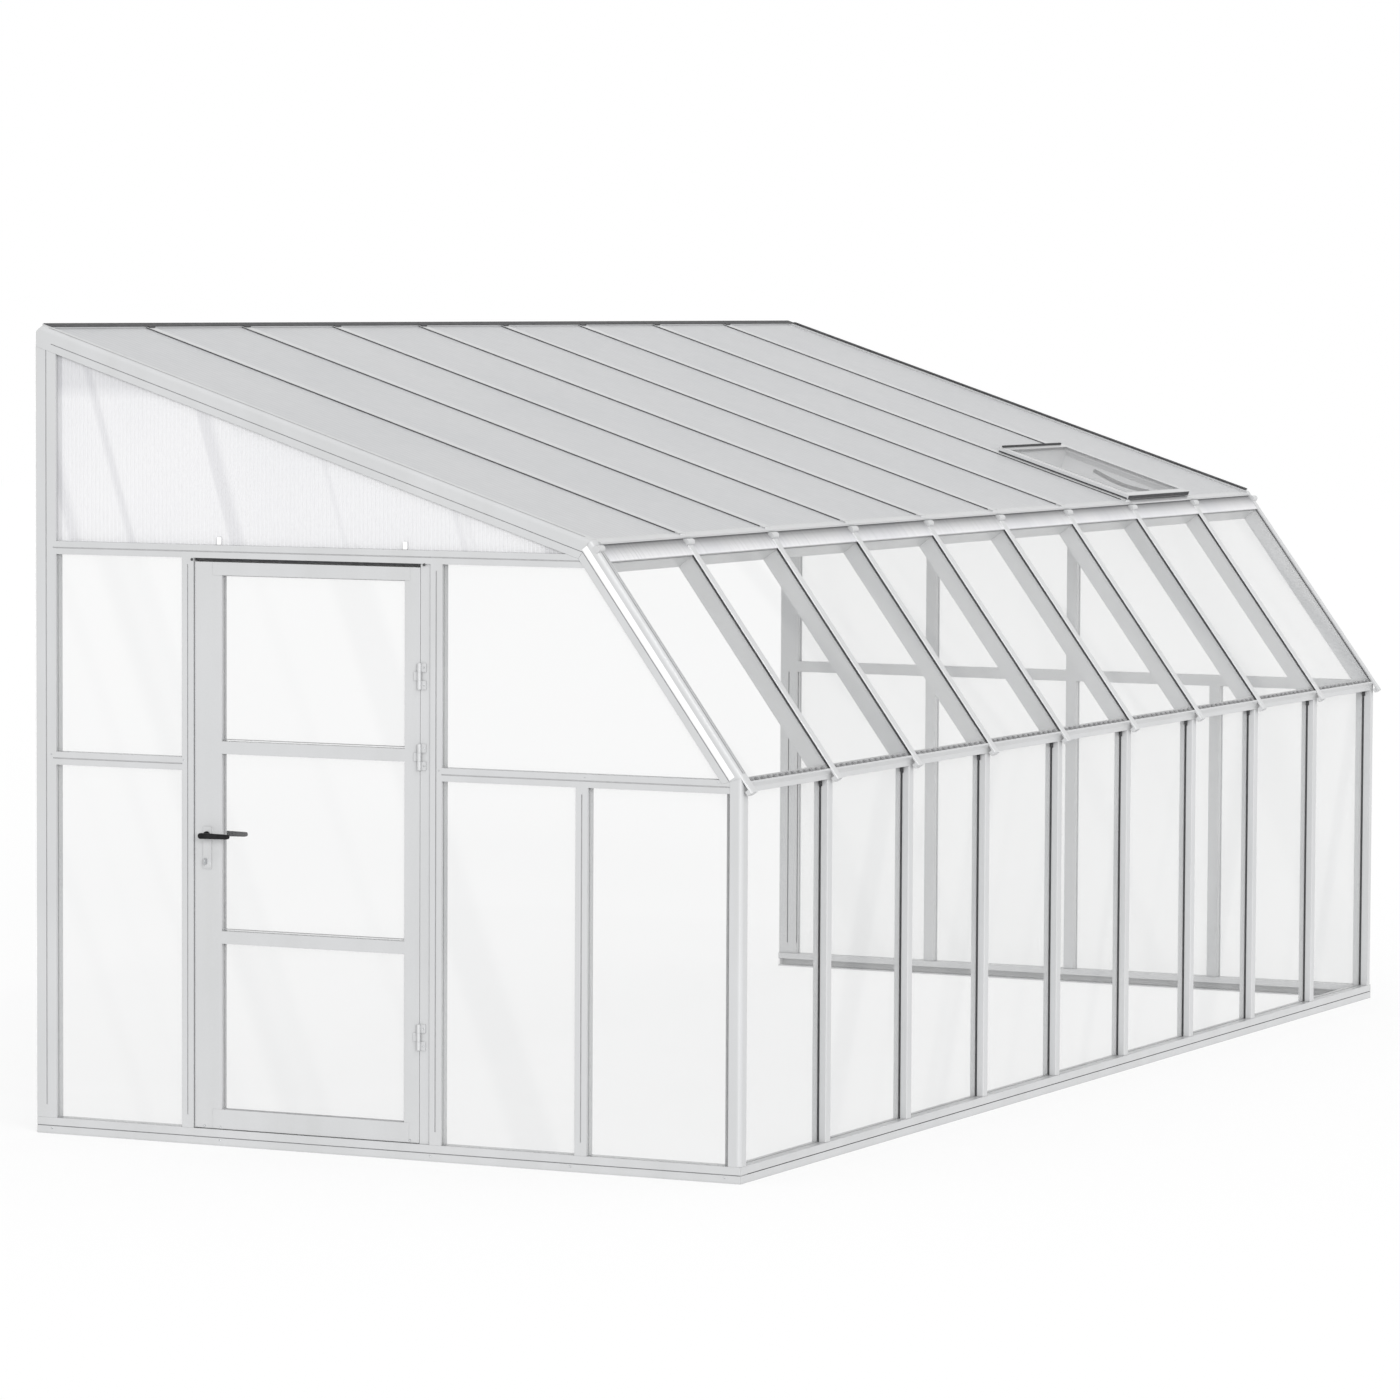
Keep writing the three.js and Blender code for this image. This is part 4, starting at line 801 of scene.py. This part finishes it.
def build_pieces():
    piece("post_gaskets", ROOT, SEAL, post_gaskets)
    piece("post_shadow_wedges", ROOT, SEAL, post_shadow_wedges)
    piece("slope_gaskets", ROOT, SEAL, slope_gaskets)
    piece("end_gaskets", ROOT, SOFT_SEAL, end_gaskets)
    piece("rafter_gaskets", ROOT, SEAL, rafter_gaskets)
    piece("knee_teeth", ROOT, SOFT_SEAL, knee_teeth)
    piece("eave_skirts", ROOT, SKIRT, eave_skirts)
    piece("ridge_seal", ROOT, SEAL, ridge_seal)
    piece("ridge_blocks", ROOT, SEAL, ridge_blocks)
    piece("gable_strips", ROOT, PALE_SEAL, gable_strips)
    piece("far_gable_strips", ROOT, SEAL, far_strips)
    piece("far_post_gaskets", ROOT, SEAL, far_post_gaskets)
    piece("corner_seams", ROOT, SOFT_SEAL, corner_seams)
    piece("corner_beads", ROOT, COAT, corner_beads)
    # painted highlight: the corner strip uses the pale coat
    piece("corner_highlight_strip", ROOT, PALE_COAT_AND_HIGHLIGHT, corner_highlight_strip)
    piece("far_edge_seal", ROOT, SEAL, far_edge_seal)
    piece("vent_seals", "vent", SEAL, vent_seals)
    piece("stay_sleeve", "stay", BLACK, stay_sleeve)
    piece("end_seams", ROOT, SOFT_SEAL, end_seams)
    piece("base_seams", ROOT, SOFT_SEAL, base_seams)
    piece("front_base_seam", ROOT, SEAL, front_base_seam)
    piece("wall_trims", ROOT, PALE_COAT_AND_HIGHLIGHT, wall_trims)
    piece("gable_pegs", ROOT, PALE_COAT_AND_HIGHLIGHT, gable_pegs)
    piece("door_head_shade_strip", ROOT, SEAL, door_head_shade_strip)
    piece("door_buffers", ROOT, SEAL, door_buffers)
    piece("frame_screws", ROOT, STEEL, frame_screws)
    piece("door_screws", "door", STEEL, door_screws)
    piece("door_gaskets", "door", PALE_SEAL, door_gaskets)
    piece("hinge_screws", ROOT, STEEL, hinge_screws)
    piece("leaf_screws", "door", STEEL, leaf_screws)
    piece("escutcheon", "door", COAT, escutcheon)


# The camera looks along its yaw and dip, and its roll turns it around that line
def add_camera():
    data = bpy.data.cameras.new("photo_camera")
    data.sensor_width = SENSOR_WIDTH
    data.lens = FOCAL_PIXELS / IMAGE_PIXELS * SENSOR_WIDTH
    data.clip_end = CAMERA_REACH
    camera = bpy.data.objects.new("photo_camera", data)
    bpy.context.scene.collection.objects.link(camera)
    yaw, dip, roll = (math.radians(angle) for angle in (CAMERA_YAW, CAMERA_DIP, CAMERA_ROLL))
    forward = Vector((math.sin(yaw) * math.cos(dip), math.cos(yaw) * math.cos(dip), -math.sin(dip)))
    level = Vector((math.cos(yaw), -math.sin(yaw), 0))
    upright = level.cross(forward)
    right = level * math.cos(roll) + upright * math.sin(roll)
    up = upright * math.cos(roll) - level * math.sin(roll)
    axes = Matrix((right, up, -forward)).transposed()
    camera.matrix_world = Matrix.Translation(CAMERA_PLACE) @ axes.to_4x4()
    bpy.context.scene.camera = camera


def add_floor():
    mesh = bpy.data.meshes.new("floor")
    form = bmesh.new()
    bmesh.ops.create_grid(form, x_segments=1, y_segments=1, size=FLOOR_SIZE / 2)
    form.to_mesh(mesh)
    form.free()
    floor = bpy.data.objects.new("floor", mesh)
    bpy.context.scene.collection.objects.link(floor)
    glow = {"Emission_Color": (1, 1, 1, 1), "Emission_Strength": FLOOR_GLOW}
    tone = (FLOOR_TONE, FLOOR_TONE, FLOOR_TONE)
    mesh.materials.append(material("pale_floor", tone, 0.8, Specular_IOR_Level=0, **glow))


def add_sun(name, strength, spread_angle, aim):
    data = bpy.data.lights.new(name, "SUN")
    data.energy = strength
    data.angle = math.radians(spread_angle)
    lamp = bpy.data.objects.new(name, data)
    bpy.context.scene.collection.objects.link(lamp)
    lamp.rotation_euler = Vector(aim).to_track_quat("-Z", "Y").to_euler()


def add_room(strength):
    world = bpy.data.worlds.new("studio")
    world.use_nodes = True
    back = world.node_tree.nodes["Background"]
    back.inputs["Color"].default_value = (1, 1, 1, 1)
    back.inputs["Strength"].default_value = strength
    bpy.context.scene.world = world
    bpy.context.scene.view_settings.view_transform = "Standard"


dress_nodes()
build_pieces()
add_camera()
add_floor()
add_room(ROOM_STRENGTH)
add_sun("fill_sun", **FILL_SUN)
add_sun("edge_sun", **EDGE_SUN)
